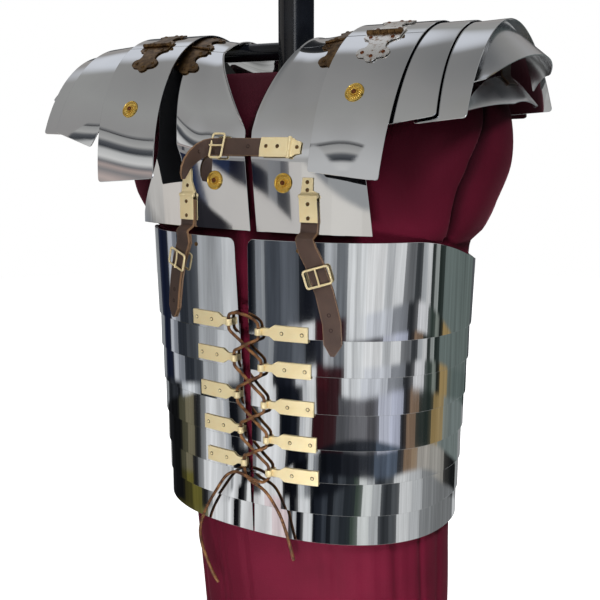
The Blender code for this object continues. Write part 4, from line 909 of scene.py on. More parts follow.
def round_rod(name, points, radius, material, sections=4, closed=False, shares=None):
    """A cord or a wire along a route, with a share of its radius at each point if it varies."""
    curve = bpy.data.curves.new(name, "CURVE")
    curve.dimensions = "3D"
    curve.bevel_depth = radius
    curve.bevel_resolution = sections
    curve.use_fill_caps = not closed
    curve.materials.append(material)
    spline = curve.splines.new("POLY")
    spline.points.add(len(points) - 1)
    for target, point, share in zip(spline.points, points, shares or [1.0] * len(points)):
        target.co = (*point, 1.0)
        target.radius = share
    spline.use_cyclic_u = closed
    piece = bpy.data.objects.new(name, curve)
    bpy.context.collection.objects.link(piece)
    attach(piece, "root")
    return piece


def thong(name, points):
    """A hide cord, which swells and thins a little along its length."""
    shares = [0.97 + 0.05 * math.sin(i * 1.7) * math.sin(i * 0.37) for i in range(len(points))]
    return round_rod(name, points, LACE_R, hide, shares=shares)


# Hide thong: vegetable-tanned, unpolished, its fibres and rubbed high spots paler
hide, tree, shader, spot, _ = mottled("brown_hide_thong", {"Roughness": 0.55}, 130.0, 5.0,
                                      ("#3a2316", "#74502f"), levels=(0.38, 0.66))
fibre = add(tree, "ShaderNodeTexNoise", {"Scale": 900.0, "Detail": 3.0}, {"Vector": spot})
raised = add(tree, "ShaderNodeBump", {"Strength": 0.5, "Distance": 0.0004},
             {"Height": fibre.outputs["Fac"]})
tree.links.new(raised.outputs[0], shader.inputs["Normal"])

first, second = strand(1, True), strand(-1, False)
rise = Vector((0, 0, LACE_OVER))
over = arc(first[0], rise, second[0], -rise, 9)
tail_right = [Vector(point) for point in TAIL_RIGHT]
tail_left = [Vector(point) for point in TAIL_LEFT]
laced = [tail_right[0]] + list(reversed(first)) + over + second + [tail_left[0]]
run = thong("lace_in_the_ties", rounded(laced))
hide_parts("lace")
for name, points in (("lace_end_right", tail_right), ("lace_end_left", tail_left)):
    route = rounded(points)
    end = thong(name, route)
    length = sum((b - a).length for a, b in zip(route, route[1:]))
    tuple(route[0])


# Collar: two breastplates and two backplates of the same polished steel. Each is bent over
# the shoulder, creased across the chest and straight below it, and its neck edge is rolled
# out. Small rivets hold the leathers inside.
COLLAR_CREST_Z, COLLAR_SCALE, COLLAR_RISE = 0.6804, 0.88, 0.0071
COLLAR_PLAN = {1: 0.220, -1: 0.262}
COLLAR_SPLIT, COLLAR_GAP, COLLAR_CREASE = 0.048, 0.0012, 0.182
COLLAR_BOTTOM_Z, COLLAR_BOTTOM_OUT = 0.4780, 0.010
OUTER_TOP, OUTER_BOTTOM = 0.128, {1: 0.130, -1: 0.170}
NECK_HALF = {1: 0.045, -1: 0.053}
CHEST_GAP, BACK_SEAM, NECK_LOW_Z, NECK_TOP_Z, NECK_BACK = 0.004, 0.0005, 0.580, 0.665, 0.080
NECK_ROLL, NECK_ROLL_WIDE = 0.0016, 0.004
NECK_X, CREASE_X, BOTTOM_X = -0.034, -0.008, 0.010
ARCH_Y, ARCH_EASE = 0.005, 0.130


def arch_slope(s):
    """Slope of the shoulder arch at a distance from its crest."""
    return math.pi / 2 * (1 - math.exp(-abs(s) / ARCH_EASE))


def arch(distance):
    """Reach outwards and drop at a distance along the shoulder arch from its crest."""
    parts = 24
    reach = drop = 0.0
    for i in range(parts):
        slope = arch_slope(distance * (i + 0.5) / parts)
        reach += math.cos(slope) * distance / parts
        drop += math.sin(slope) * distance / parts
    return reach, drop


def lean(z):
    """Sideways swing of the collar plates at a height."""
    if z < NECK_LOW_Z:
        part = (z - COLLAR_BOTTOM_Z) / (NECK_LOW_Z - COLLAR_BOTTOM_Z)
        return BOTTOM_X + (CREASE_X - BOTTOM_X) * part
    part = (z - NECK_LOW_Z) / (NECK_TOP_Z - NECK_LOW_Z)
    return CREASE_X + (NECK_X - CREASE_X) * min(part, 1.0)


def collar_point(x, s, out=0.0):
    """Point of the collar's inner face: x from the middle, s from the crest, - in front,
    and past the crease the share of the straight part below it."""
    sign, size = (-1 if s < 0 else 1), abs(s)
    aside = min(abs(x), 0.2) / COLLAR_PLAN[1 if x > 0 else -1]
    plan = (1 - aside ** RING_POWER) ** (1 / RING_POWER)
    crest = COLLAR_CREST_Z + COLLAR_RISE * smooth((abs(x) - 0.055) / 0.065)
    bend = min(size, COLLAR_CREASE) / COLLAR_SCALE
    reach, drop = arch(bend)
    reach *= COLLAR_SCALE
    z = crest - drop * COLLAR_SCALE
    slope = arch_slope(bend)
    if size > COLLAR_CREASE:
        part = size - COLLAR_CREASE
        z += (COLLAR_BOTTOM_Z - z) * part
        reach += COLLAR_BOTTOM_OUT * part
        slope = math.pi / 2
    y = ARCH_Y + sign * (reach * plan + out * math.sin(slope))
    z += out * math.cos(slope)
    return Vector((x + lean(z), y, z))


def neck_edge(s, side):
    """Distance of a plate's inner edge from the middle."""
    half = NECK_HALF[side]
    if s < 0:
        part = (collar_point(0.03, s).z - NECK_LOW_Z) / (NECK_TOP_Z - NECK_LOW_Z)
        return CHEST_GAP + (half - CHEST_GAP) * min(max(part, 0.0), 1.0) ** 1.15
    part = min(s / NECK_BACK, 1.0)
    return BACK_SEAM + (half - BACK_SEAM) * math.sqrt(max(1 - part ** 3, 0.0))


def breast_point(x, z, out=STEEL + CLEAR):
    """Point over the front of the breastplates at a given x and height."""
    near, far = 0.06, COLLAR_CREASE + 1.2
    for _ in range(36):
        middle = (near + far) / 2
        if collar_point(x - lean(z), -middle).z > z:
            near = middle
        else:
            far = middle
    return collar_point(x - lean(z), -near, out)


# fractions across a plate, closer at its rolled neck edge
across = [0.0, 0.008, 0.016, 0.024] + [0.034 + 0.966 * t for t in steps(22)]
for side, label in SIDES:
    for name, sign, start in (("breastplate", -1, -COLLAR_SPLIT),
                              ("backplate", 1, COLLAR_GAP - COLLAR_SPLIT)):
        rows = [start + (sign * COLLAR_CREASE - start) * t for t in steps(40)]
        rows += [sign * (COLLAR_CREASE + t) for t in steps(8)[1:]]

        def place(u, v):
            s = rows[round(v * (len(rows) - 1))]
            inner = neck_edge(s, side)
            part = smooth((abs(s) - 0.10) / (COLLAR_CREASE + 0.90))
            outer = OUTER_TOP + (OUTER_BOTTOM[side] - OUTER_TOP) * part
            x = inner + (outer - inner) * u
            off = (x - inner) / NECK_ROLL_WIDE
            neck = smooth((inner - CHEST_GAP - 0.002) / 0.006)
            return collar_point(side * x, s, NECK_ROLL * neck * max(1 - off, 0.0) ** 2)

        bent_sheet(f"{name}_shell_{label}", across, steps(len(rows) - 1), place, STEEL,
                   Vector((side * 0.08, 0.0, 0.52)), steel, "polished_steel", f"{name}_{label}")


# Rosettes: pressed yellow brass discs with a raised rim and petals round a copper rivet,
# one on each breastplate and one on each front guard.
ROSETTE_BREAST = {1: (0.0423, 0.5285), -1: (-0.0453, 0.5290)}
ROSETTE_GUARD = {1: (0.46, -0.137), -1: (0.49, -0.152)}
PETALS, PETAL_FROM, PETAL_TO, PETAL_HIGH = 20, 0.0037, 0.0086, 0.0012

# Pressed brass: thin yellow sheet, bright where the die pressed it smooth
yellow_brass = mottled("pressed_yellow_brass", {"Metallic": 1.0, "Roughness": 0.22}, 260.0, 3.0,
                       ("#e3b244", "#ffe284"))[0]

# Copper: the rivets' domed heads, dull from handling
copper = mottled("dull_copper", {"Metallic": 1.0, "Roughness": 0.4}, 400.0, 3.0,
                 ("#5e3320", "#a4643f"))[0]


def rosette(name, matrix):
    """A rosette and its rivet, standing on a plate."""
    bm = bmesh.new()
    turned(bm, ((0.0, 0.0), (0.0100, 0.0), (0.0102, 0.0006), (0.0099, 0.0013), (0.0093, 0.0015),
                (0.0088, 0.0010), (0.0083, 0.0008), (0.0074, 0.0012), (0.0065, 0.0017),
                (0.0056, 0.0019), (0.0047, 0.0017), (0.0040, 0.0012), (0.0036, 0.0011),
                (0.0031, 0.0018), (0.0, 0.0018)), 160, matrix)
    inverse = matrix.inverted()
    for vert in bm.verts:
        spot = inverse @ vert.co
        radius, bearing = math.hypot(spot.x, spot.y), math.atan2(spot.y, spot.x)
        if PETAL_FROM < radius < PETAL_TO:
            swell = math.sin((radius - PETAL_FROM) / (PETAL_TO - PETAL_FROM) * math.pi)
            spot.z += PETAL_HIGH * swell * (abs(math.cos(bearing * PETALS / 2)) ** 0.7 - 0.6)
            vert.co = matrix @ spot
    bmesh.ops.recalc_face_normals(bm, faces=bm.faces)
    new_piece(name, bm, yellow_brass, "pale_brass", sharp=30)
    head = bmesh.new()
    rivet(head, matrix @ Matrix.Translation((0, 0, 0.0018)), 0.0026, 0.0017)
    new_piece(name + "_rivet", head, copper, "aged_brass")


for side, label in SIDES:
    rosette(f"rosette_breast_{label}",
            standing(breast_point, *ROSETTE_BREAST[side], STEEL + 0.0001))


# Shoulder guards: strips of the same steel bent over each shoulder. The wide guard is split
# in front of the crest and hinged there, and four lesser guards lap out under it, the third
# and fourth tipping down over the arm. Their lower corners are rounded with a file.
SHOULDER_X, GUARD_CREST_Z = -0.016, 0.6913
# each guard's inner and outer edge: distance from the middle at the crest and at the ends,
# crest's height, size of the arch, share of its drop, and length in front and behind
EDGE_COLUMNS = ("x", "x_end", "crest", "size", "drop", "front", "rear")
GUARD_EDGES = {
    "guard": {1: ((0.090, 0.098, 0.0000, 1.00, 1.0, 0.220, 0.200),
                  (0.178, 0.178, 0.0000, 1.00, 1.0, 0.227, 0.205)),
              -1: ((0.123, 0.098, 0.0000, 1.00, 1.0, 0.232, 0.200),
                   (0.211, 0.178, 0.0000, 1.00, 1.0, 0.238, 0.205))},
    "lesser_1": {1: ((0.158, 0.158, -0.0022, 0.94, 1.0, 0.169, 0.160),
                     (0.214, 0.224, -0.0018, 0.98, 1.0, 0.160, 0.160)),
                 -1: ((0.165, 0.206, -0.0022, 0.94, 1.0, 0.192, 0.170),
                      (0.272, 0.268, -0.0100, 0.98, 1.0, 0.168, 0.160))},
    "lesser_2": {1: ((0.196, 0.200, -0.0046, 0.92, 1.0, 0.162, 0.150),
                     (0.250, 0.254, -0.0022, 0.95, 1.0, 0.160, 0.150)),
                 -1: ((0.200, 0.215, -0.0068, 0.92, 1.0, 0.172, 0.155),
                      (0.300, 0.292, -0.0180, 0.96, 1.0, 0.160, 0.150))},
    "lesser_3": {1: ((0.238, 0.238, -0.0047, 0.86, 1.0, 0.122, 0.120),
                     (0.280, 0.262, -0.0380, 0.97, 0.45, 0.118, 0.085)),
                 -1: ((0.268, 0.262, -0.0164, 0.86, 1.0, 0.122, 0.120),
                      (0.322, 0.305, -0.0500, 0.95, 0.5, 0.105, 0.085))},
    "lesser_4": {1: ((0.241, 0.241, -0.0570, 0.80, 0.45, 0.135, 0.118),
                     (0.2646, 0.2646, -0.0820, 0.80, 0.53, 0.031, 0.035)),
                 -1: ((0.235, 0.235, -0.0420, 0.80, 1.0, 0.110, 0.110),
                      (0.285, 0.290, -0.0780, 0.80, 1.0, 0.060, 0.060))},
}
HINGE_AT = -0.055


def guard_edge(kind, side, u):
    """Values between a guard's inner edge, u = 0, and its outer one, u = 1."""
    inner, outer = GUARD_EDGES[kind][side]
    return {key: a + (b - a) * u for key, a, b in zip(EDGE_COLUMNS, inner, outer)}


def guard_point(edge, s, side, out=0.0):
    """Point of a guard's inner face at a distance from the crest, - in front."""
    size = edge["size"]
    reach, drop = arch(abs(s) / size)
    slope = arch_slope(s / size)
    sign = -1 if s < 0 else 1
    share = min(abs(s) / (edge["front"] if s < 0 else edge["rear"]), 1.0) ** 2
    x = edge["x"] + (edge["x_end"] - edge["x"]) * share
    y = ARCH_Y + sign * (reach * size + out * math.sin(slope))
    z = GUARD_CREST_Z + edge["crest"] - drop * size * edge["drop"] + out * math.cos(slope)
    return Vector((side * x + SHOULDER_X, y, z))


def corner(off, radius=0.004):
    """How much shorter a strip's end is near its side edge, at a distance from it."""
    return radius - math.sqrt(radius ** 2 - max(radius - off, 0.0) ** 2)


# Satin steel: the same sheet brushed dull, so that it shows light and dark without edges
satin = mottled("satin_mild_steel", {"Metallic": 1.0}, 60.0, 5.0, ("#cfd1d4", "#dfe0e2"),
                rough=(0.17, 0.27))[0]

# Painted shade: a blue-black matt lining on the wide guards' inner faces stands in for the shade
# inside them
scale_skin = mottled("dark_painted_inner_shade", {"Roughness": 0.55}, 40.0, 5.0,
                     ("#0c0e16", "#1b1e2a"))[0]

# fractions across a strip, closer at its rounded corners
across = [0.0, 0.008, 0.02, 0.04] + [0.07 + 0.86 * t for t in steps(10)]
across += [0.96, 0.98, 0.992, 1.0]
for side, label in SIDES:
    strips = [(f"guard_front_{label}", "guard", -1), (f"guard_rear_{label}", "guard", 1)]
    strips += [(f"lesser_guard_{n}_{label}", f"lesser_{n}", 0) for n in (1, 2, 3, 4)]
    for node, kind, half in strips:

        def place(u, v):
            edge = guard_edge(kind, side, u)
            width = abs(guard_edge(kind, side, 1)["x"] - guard_edge(kind, side, 0)["x"])
            cut = corner(min(u, 1 - u) * width)
            start, end = -edge["front"] + cut, edge["rear"] - cut
            if half < 0:
                end = HINGE_AT - CLEAR
            if half > 0:
                start = HINGE_AT + CLEAR
            return guard_point(edge, start + (end - start) * v, side)

        # the wide guards' inner faces take the painted shade lining
        bent_sheet(node.replace("guard", "guard_strip", 1), across, steps(44 if half else 64),
                   place, STEEL, Vector((side * 0.15 + SHOULDER_X, ARCH_Y, 0.56)),
                   satin if kind in ("lesser_3", "lesser_4") else steel, "polished_steel", node,
                   lining=scale_skin if kind == "guard" else None)

    def on_guard(share, s, out):
        return guard_point(guard_edge("guard", side, share), s, side, out)

    rosette(f"rosette_guard_{label}", standing(on_guard, *ROSETTE_GUARD[side], STEEL + 0.0001))


# Hinges: cast brass butt hinges, one of them tinned. Their leaves are filed to a waist and
# three round lobes, each lobe and the root held by rivets, and have a five-knuckle barrel.
# One joins each breastplate to its backplate, and one the front of each guard to its rear.
LEAF_HALF, LEAF_LENGTH, LEAF_TAIL = 0.0205, 0.0458, 0.0125
NOTCH_AT, NOTCH_R = 0.0205, 0.0102
LOBE_X, LOBE_AT, LOBE_R, FOOT_AT, FOOT_R = 0.0120, 0.0330, 0.0068, 0.0385, 0.0073
ROOT_X, ROOT_AT = 0.0125, 0.0085
COLLAR_HINGE_X, GUARD_HINGE_SHARE, GUARD_WIDE = 0.098, 0.51, 0.088

# Tinned brass: pale grey and worn, with the brass showing through in spots
tinned = mottled("tinned_brass", {"Metallic": 1.0, "Roughness": 0.30}, 190.0, 5.0,
                 ("#f3f0ea", "#ab9480"), levels=(0.54, 0.64))[0]


def leaf_half(d):
    """Half width of a leaf at a distance from the hinge line."""
    half = LEAF_HALF
    if abs(d - NOTCH_AT) < NOTCH_R:
        half = LEAF_HALF - math.sqrt(NOTCH_R ** 2 - (d - NOTCH_AT) ** 2)
    if d > NOTCH_AT:
        half = min(half, LEAF_TAIL)
    if abs(d - LOBE_AT) < LOBE_R:
        half = max(half, LOBE_X + math.sqrt(LOBE_R ** 2 - (d - LOBE_AT) ** 2))
    if d > LOBE_AT + LOBE_R:
        half = math.sqrt(max(FOOT_R ** 2 - (d - FOOT_AT) ** 2, 1e-7))
    return half


def knuckle_barrel(name, start, end, knuckles, radius, eased, metal, slot):
    """A hinge's barrel, with a fine slit between its knuckles."""
    axis = end - start
    profile = [(0.0, 0.0)]
    for k in range(knuckles):
        foot, head = axis.length * k / knuckles, axis.length * (k + 1) / knuckles
        profile += [(radius - eased, foot + 0.00005), (radius, foot + 0.0004),
                    (radius, head - 0.0004), (radius - eased, head - 0.00005)]
    barrel = bmesh.new()
    turned(barrel, profile + [(0.0, axis.length)], 24,
           Matrix.Translation(start) @ axis.to_track_quat("Z", "Y").to_matrix().to_4x4())
    bmesh.ops.recalc_face_normals(barrel, faces=barrel.faces)
    new_piece(name, barrel, metal, slot, sharp=30)


def hinge(name, over, line, pin, lift, metal, *nodes):
    """A butt hinge across a line of the plates that over(x, s, out) gives."""
    cuts = [LEAF_LENGTH * t for t in steps(44)]
    levels = [line - d for d in reversed(cuts)] + [line + d for d in cuts[1:]]

    def place(u, v):
        s = levels[round(v * (len(levels) - 1))]
        return over(2 * leaf_half(abs(s - line)) * (u - 0.5), s, STEEL + 2 * CLEAR)

    bent_sheet(name + "_leaves", steps(10), steps(len(levels) - 1), place, BRASS,
               Vector((over(0.0, line, 0.0).x, 0.0, 0.6)), metal, "aged_brass", *nodes,
               edge=0.0004)
    rise = STEEL + CLEAR + pin + lift
    knuckle_barrel(name + "_barrel", over(-LEAF_HALF, line, rise), over(LEAF_HALF, line, rise),
                   5, pin, 0.0005, aged_brass, "aged_brass")
    heads = bmesh.new()
    for sign in (-1, 1):
        for x, d in ((-ROOT_X, ROOT_AT), (ROOT_X, ROOT_AT), (-LOBE_X, LOBE_AT),
                     (LOBE_X, LOBE_AT), (0.0, FOOT_AT)):
            head_at = standing(over, x, line + sign * d, STEEL + 2 * CLEAR + BRASS)
            rivet(heads, head_at, 0.0022, 0.0011)
    new_piece(name + "_rivets", heads, copper if metal is tinned else aged_brass, "aged_brass")


for side, label in SIDES:

    def over_guard(x, s, out):
        edge = guard_edge("guard", side, GUARD_HINGE_SHARE + x / GUARD_WIDE)
        return guard_point(edge, s, side, out)

    def over_collar(x, s, out):
        return collar_point(side * (COLLAR_HINGE_X + x), s, out)

    hinge(f"guard_hinge_{label}", over_guard, HINGE_AT, 0.0024, 0.0004,
          tinned if side > 0 else aged_brass, f"hinge_guard_{label}")
    hinge(f"collar_hinge_{label}", over_collar, COLLAR_GAP / 2 - COLLAR_SPLIT, 0.0015, 0.0011,
          aged_brass, f"hinge_collar_{label}")


# Guard hangers: a short strip of strap leather inside each shoulder that carries the fourth
# guard from the third, riveted to both.
HANGER_W, HANGER_T = 0.022, 0.0018
HANGER_UPPER, HANGER_LOWER = (0.62, 0.46, 0.30), (0.10, 0.26, 0.42)

# Strap leather: bark-tanned cowhide dyed dark brown and waxed, 2.4 mm thick. The dye stops
# short of the cut edges, which are tan, and the face has a fine pebble and pale scuffs.
strap_hide, tree, shader = new_material("dark_waxed_strap_leather", {})
coords = add(tree, "ShaderNodeTexCoord").outputs
spot = coords["Object"]
cloudy = add(tree, "ShaderNodeTexNoise", {"Scale": 55.0, "Detail": 5.0}, {"Vector": spot})
dyed = add(tree, "ShaderNodeMix", {"data_type": "RGBA", 6: srgb("#281c17"), 7: srgb("#4b3a32")},
           {0: cloudy.outputs["Fac"]})
cut = add(tree, "ShaderNodeSeparateXYZ", {}, {0: coords["UV"]})
off = add(tree, "ShaderNodeMath", {"operation": "SUBTRACT", 1: 0.5}, {0: cut.outputs["Y"]})
off = add(tree, "ShaderNodeMath", {"operation": "ABSOLUTE"}, {0: off.outputs[0]})
ragged = add(tree, "ShaderNodeMath", {"operation": "MULTIPLY_ADD", 1: 0.05},
             {0: cloudy.outputs["Fac"], 2: off.outputs[0]})
bare = add(tree, "ShaderNodeMapRange", {"From Min": 0.480, "From Max": 0.520},
           {"Value": ragged.outputs[0]})
tone = add(tree, "ShaderNodeMix", {"data_type": "RGBA", 7: srgb("#6f553f")},
           {0: bare.outputs[0], 6: dyed.outputs[2]})
tree.links.new(tone.outputs[2], shader.inputs["Base Color"])
pebble = add(tree, "ShaderNodeTexVoronoi", {"Scale": 700.0}, {"Vector": spot})
rough = add(tree, "ShaderNodeMapRange", {"To Min": 0.42, "To Max": 0.62},
            {"Value": cloudy.outputs["Fac"]})
tree.links.new(rough.outputs[0], shader.inputs["Roughness"])
raised = add(tree, "ShaderNodeBump", {"Strength": 0.35, "Distance": 0.0003},
             {"Height": pebble.outputs["Distance"]})
tree.links.new(raised.outputs[0], shader.inputs["Normal"])

for side, label in SIDES:

    def place(u, v):
        s = HANGER_W * (v - 0.5)
        top = [guard_point(guard_edge("lesser_3", side, share), s, side, -2 * CLEAR)
               for share in HANGER_UPPER]
        foot = [guard_point(guard_edge("lesser_4", side, share), s, side,
                            1.4 * STEEL + 2 * CLEAR) for share in HANGER_LOWER]
        leap = arc(top[-1], (top[-1] - top[-2]) * 1.6, foot[0], (foot[1] - foot[0]) * 3.0, 9)
        line = top + leap + foot
        return line[round(u * (len(line) - 1))]

    bent_sheet(f"hanger_strip_{label}", steps(13), steps(4), place, HANGER_T,
               Vector((SHOULDER_X, ARCH_Y, 0.66)), strap_hide, "strap_leather",
               f"guard_hanger_{label}", edge=0.0004)


# Girdle straps: on each breastplate a hinged brass fitting, its leaf riveted to the plate
# and its strap plate to a leather strap, which runs down aslant over the top hoop through
# a wire buckle to a pointed end with punched holes.
STRAP_W = 0.020
FITTING_TOP = {1: (0.0705, 0.5345), -1: (-0.0850, 0.5410)}
FITTING_PIN = {1: (0.0735, 0.5160), -1: (-0.0825, 0.5125)}
FITTING_END = {1: (0.0765, 0.4900), -1: (-0.0805, 0.4860)}
STRAP_ROUTE = {1: ((0.0795, 0.4630), (0.0860, 0.4500), (0.0960, 0.4200), (0.1025, 0.3900),
                   (0.1035, 0.3680)),
               -1: ((-0.0780, 0.4640), (-0.0900, 0.4400), (-0.0960, 0.4200), (-0.1000, 0.4000),
                    (-0.1020, 0.3880))}
STRAP_TIP = {1: (0.1030, 0.3560), -1: (-0.1030, 0.3760)}
BUCKLE_TURN = {1: -73, -1: -107}
BUCKLE_AT = {1: (0.0905, 0.4370), -1: (-0.0885, 0.4430)}
FITTING_RIVETS = {1: ((0.0705, 0.5300), (0.0712, 0.5222), (0.0742, 0.5085), (0.0758, 0.4945)),
                  -1: ((-0.0848, 0.5365), (-0.0835, 0.5225), (-0.0820, 0.5055),
                       (-0.0808, 0.4905))}
STRAP_HOLES = {1: ((0.1010, 0.3985), (0.1028, 0.3830)),
               -1: ((-0.0985, 0.4080), (-0.1008, 0.3950))}
FITTING_PIN_R, FITTING_PIN_EASE = 0.0021, 0.0004
STRAP_RIVET = (0.0021, 0.0011)
LIP_Z = HEM_Z + GIRDLE_H


def girdle_front(x, z, out=STEEL + CLEAR):
    """Point over the front of the top hoop at a given x and height."""
    return girdle_point(front_bearing(x, z, 0, out), z, 0, out)


def collar_share(z):
    """How far up the gap between the top hoop's lip and the collar's foot a height lies."""
    return smooth((z - LIP_Z - 0.0015) / (COLLAR_BOTTOM_Z - LIP_Z))


def over_front(x, z, out):
    """Point over the front, from the breastplates across the gap to the top hoop."""
    part = collar_share(z)
    if part == 0:
        return girdle_front(x, z, out)
    if part == 1:
        return breast_point(x, z, out)
    return girdle_front(x, z, out).lerp(breast_point(x, z, out), part)


def band(name, point_at, path, width, thickness, material, slot, *nodes, level=9.0, finer=3,
         edge=0.0005):
    """A strap or plate along a path of x, height, distance off, share of the width and,
    where it leaves the surface, a shift and the way across it. Above level it lies square."""
    still = (Vector((0, 0, 0)), Vector((0, 0, -1)))
    path = [(*station, *still) if len(station) == 4 else station for station in path]
    dense = []
    for a, b in zip(path, path[1:]):
        for k in range(finer):
            dense.append(tuple(p + (q - p) * (k / finer) for p, q in zip(a, b)))
    path = dense + [path[-1]]
    middles = [point_at(x, z, out) + shift for x, z, out, share, shift, cross in path]
    across = []
    for i, (x, z, out, share, shift, cross) in enumerate(path):
        along = middles[min(i + 1, len(path) - 1)] - middles[max(i - 1, 0)]
        turn = standing(point_at, x, z, out).to_3x3()
        aside = turn @ Vector((1, 0, 0))
        if z <= level:
            aside = (turn @ Vector((0, 0, 1))).cross(along).normalized()
        if shift.length > 0:
            aside = cross.normalized()
        if across and aside.dot(across[-1]) < 0:
            aside.negate()
        across.append(aside)

    def place(u, v):
        i = round(u * (len(path) - 1))
        x, z, out, share, shift, cross = path[i]
        aside = across[i] * width * share * (v - 0.5)
        if shift.length > 0:
            return middles[i] + aside
        return point_at(x + aside.x, z + aside.z, out)

    inside = Vector((middles[1].x, 0.0, middles[1].z))
    return bent_sheet(name, steps(len(path) - 1), steps(6), place, thickness, inside, material,
                      slot, *nodes, edge=edge)


def wire_buckle(name, place, length, height, prong_turn, *nodes):
    """A buckle of bent brass wire with its prong, lying on a strap."""
    wire, corner_r = 0.0012, 0.0028
    lift = wire + CLEAR + 0.0004
    turn = place @ Matrix.Rotation(math.radians(prong_turn), 4, "Z")
    frame_route = []
    for side_x, side_y, start in ((1, 1, 0), (-1, 1, 90), (-1, -1, 180), (1, -1, 270)):
        for angle in range(start, start + 91, 15):
            bend = math.radians(angle)
            x = side_x * (height / 2 - corner_r) + corner_r * math.cos(bend)
            y = side_y * (length / 2 - corner_r) + corner_r * math.sin(bend)
            frame_route.append(turn @ Vector((x, y, lift)))
    prong = [turn @ Vector((x, 0, lift + rise)) for x, rise in
             ((-height / 2 + 0.0006, 0.0011), (-height / 2 + 0.003, 0.0009), (0, 0.0006),
              (height / 2 - 0.001, 0.0012), (height / 2 + 0.0011, 0.0014))]
    bow = round_rod(name + "_frame", frame_route, wire, pale_brass, 3, closed=True)
    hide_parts(*nodes)
    round_rod(name + "_prong", prong, 0.0010, pale_brass, 3)


# Punched hole: rim pushed up by the punch and sunken middle, painted near black as shade
punched = mottled("painted_shade_in_a_punched_hole", {"Roughness": 0.9}, 800.0, 2.0,
                  ("#0d0807", "#1f1411"))[0]


def punch(bm, matrix, radius=0.0015):
    """Add a punched hole's rim and its sunken middle, painted dark as the hole's shade."""
    turned(bm, ((0.0, -0.0006), (radius * 0.7, -0.0005), (radius * 0.95, 0.00010),
                (radius * 1.1, 0.00022), (radius * 1.3, 0.00016), (radius * 1.42, -0.0004),
                (0.0, -0.0008)), 20, matrix)


# the leaf lies on the plate, and the strap plate over the strap
near = STEEL + CLEAR
far = near + LEATHER + CLEAR
holes = bmesh.new()
fitting_rivets = bmesh.new()
for side, label in SIDES:
    top, pin, end = FITTING_TOP[side], FITTING_PIN[side], FITTING_END[side]
    leaf = [(*top, near, 0.60), (top[0], top[1] - 0.003, near, 0.60),
            (top[0], top[1] - 0.013, near, 0.66), (pin[0], pin[1] + 0.003, near, 1.0),
            (pin[0], pin[1] - 0.002, far, 1.0), (*end, far, 1.0)]
    band(f"girdle_fitting_plate_{label}", breast_point, leaf, STRAP_W, BRASS, pale_brass,
         "pale_brass", f"girdle_fitting_{label}", level=0.0, edge=0.00035)
    start, stop = (breast_point(pin[0] + k * STRAP_W * 0.53, pin[1], far) for k in (-1, 1))
    knuckle_barrel(f"girdle_fitting_barrel_{label}", start, stop, 3, FITTING_PIN_R,
                   FITTING_PIN_EASE, pale_brass, "pale_brass")
    for k, (x, z) in enumerate(FITTING_RIVETS[side]):
        out = near + BRASS if k < 2 else far + BRASS
        rivet(fitting_rivets, standing(breast_point, x, z, out), *STRAP_RIVET)

    strap = [(pin[0], pin[1] - 0.005, near, 0.94), (*end, near, 0.94)]
    strap += [(end[0], z, near, 0.94) for z in (COLLAR_BOTTOM_Z + 0.0018,
              COLLAR_BOTTOM_Z - 0.0004, LIP_Z + 0.0038, LIP_Z + 0.0014)]
    strap += [(x, z, near, 0.94) for x, z in STRAP_ROUTE[side]]
    strap.append((*STRAP_TIP[side], near, 0.2))
    band(f"girdle_strap_leather_{label}", over_front, strap, STRAP_W, LEATHER, strap_hide,
         "strap_leather", f"girdle_strap_{label}", level=LIP_Z - 0.001)
    for x, z in STRAP_HOLES[side]:
        punch(holes, standing(girdle_front, x, z, near + LEATHER))
    wire_buckle(f"girdle_wire_buckle_{label}",
                standing(girdle_front, *BUCKLE_AT[side], near + LEATHER), 0.027, 0.018,
                BUCKLE_TURN[side], f"girdle_buckle_{label}")


# Chest strap: a hinged fitting on the left breastplate holds a strap that closes the
# collar through a wire buckle on the right one, and its free end curls off the plate.
CHEST_STRAP_W, CHEST_Z, CHEST_BUCKLE_X = 0.018, 0.5635, -0.0415
LEAF_X, PIN_X, PLATE_X, FREE_X = 0.0600, 0.0475, 0.0136, -0.044
near, far = STEEL + 3 * CLEAR, STEEL + 4 * CLEAR + LEATHER
leaf = [(LEAF_X, CHEST_Z, near, 0.60), ((LEAF_X + PIN_X) / 2, CHEST_Z, near, 0.75),
        (PIN_X + 0.003, CHEST_Z, near, 1.0), (PIN_X - 0.002, CHEST_Z, far, 1.0),
        ((PIN_X + PLATE_X) / 2, CHEST_Z, far, 1.0), (PLATE_X, CHEST_Z, far, 1.0)]
band("chest_fitting_plate", breast_point, leaf, CHEST_STRAP_W + 0.001, BRASS, pale_brass,
     "pale_brass", "chest_fitting", edge=0.00035)
reach = CHEST_STRAP_W * 0.55
start, stop = (breast_point(PIN_X, CHEST_Z + k * reach, far + CLEAR) for k in (-1, 1))
knuckle_barrel("chest_fitting_barrel", start, stop, 3, FITTING_PIN_R, FITTING_PIN_EASE,
               pale_brass, "pale_brass")
for x, out in ((0.0560, near), (0.0350, far), (0.0215, far)):
    rivet(fitting_rivets, standing(breast_point, x, CHEST_Z, out + BRASS), *STRAP_RIVET)
new_piece("strap_fitting_rivets", fitting_rivets, aged_brass, "aged_brass")

strap = [(x, CHEST_Z, near, 1.0)
         for x in (PIN_X - 0.005, 0.028, PLATE_X, 0.000, -0.015, -0.030, FREE_X)]
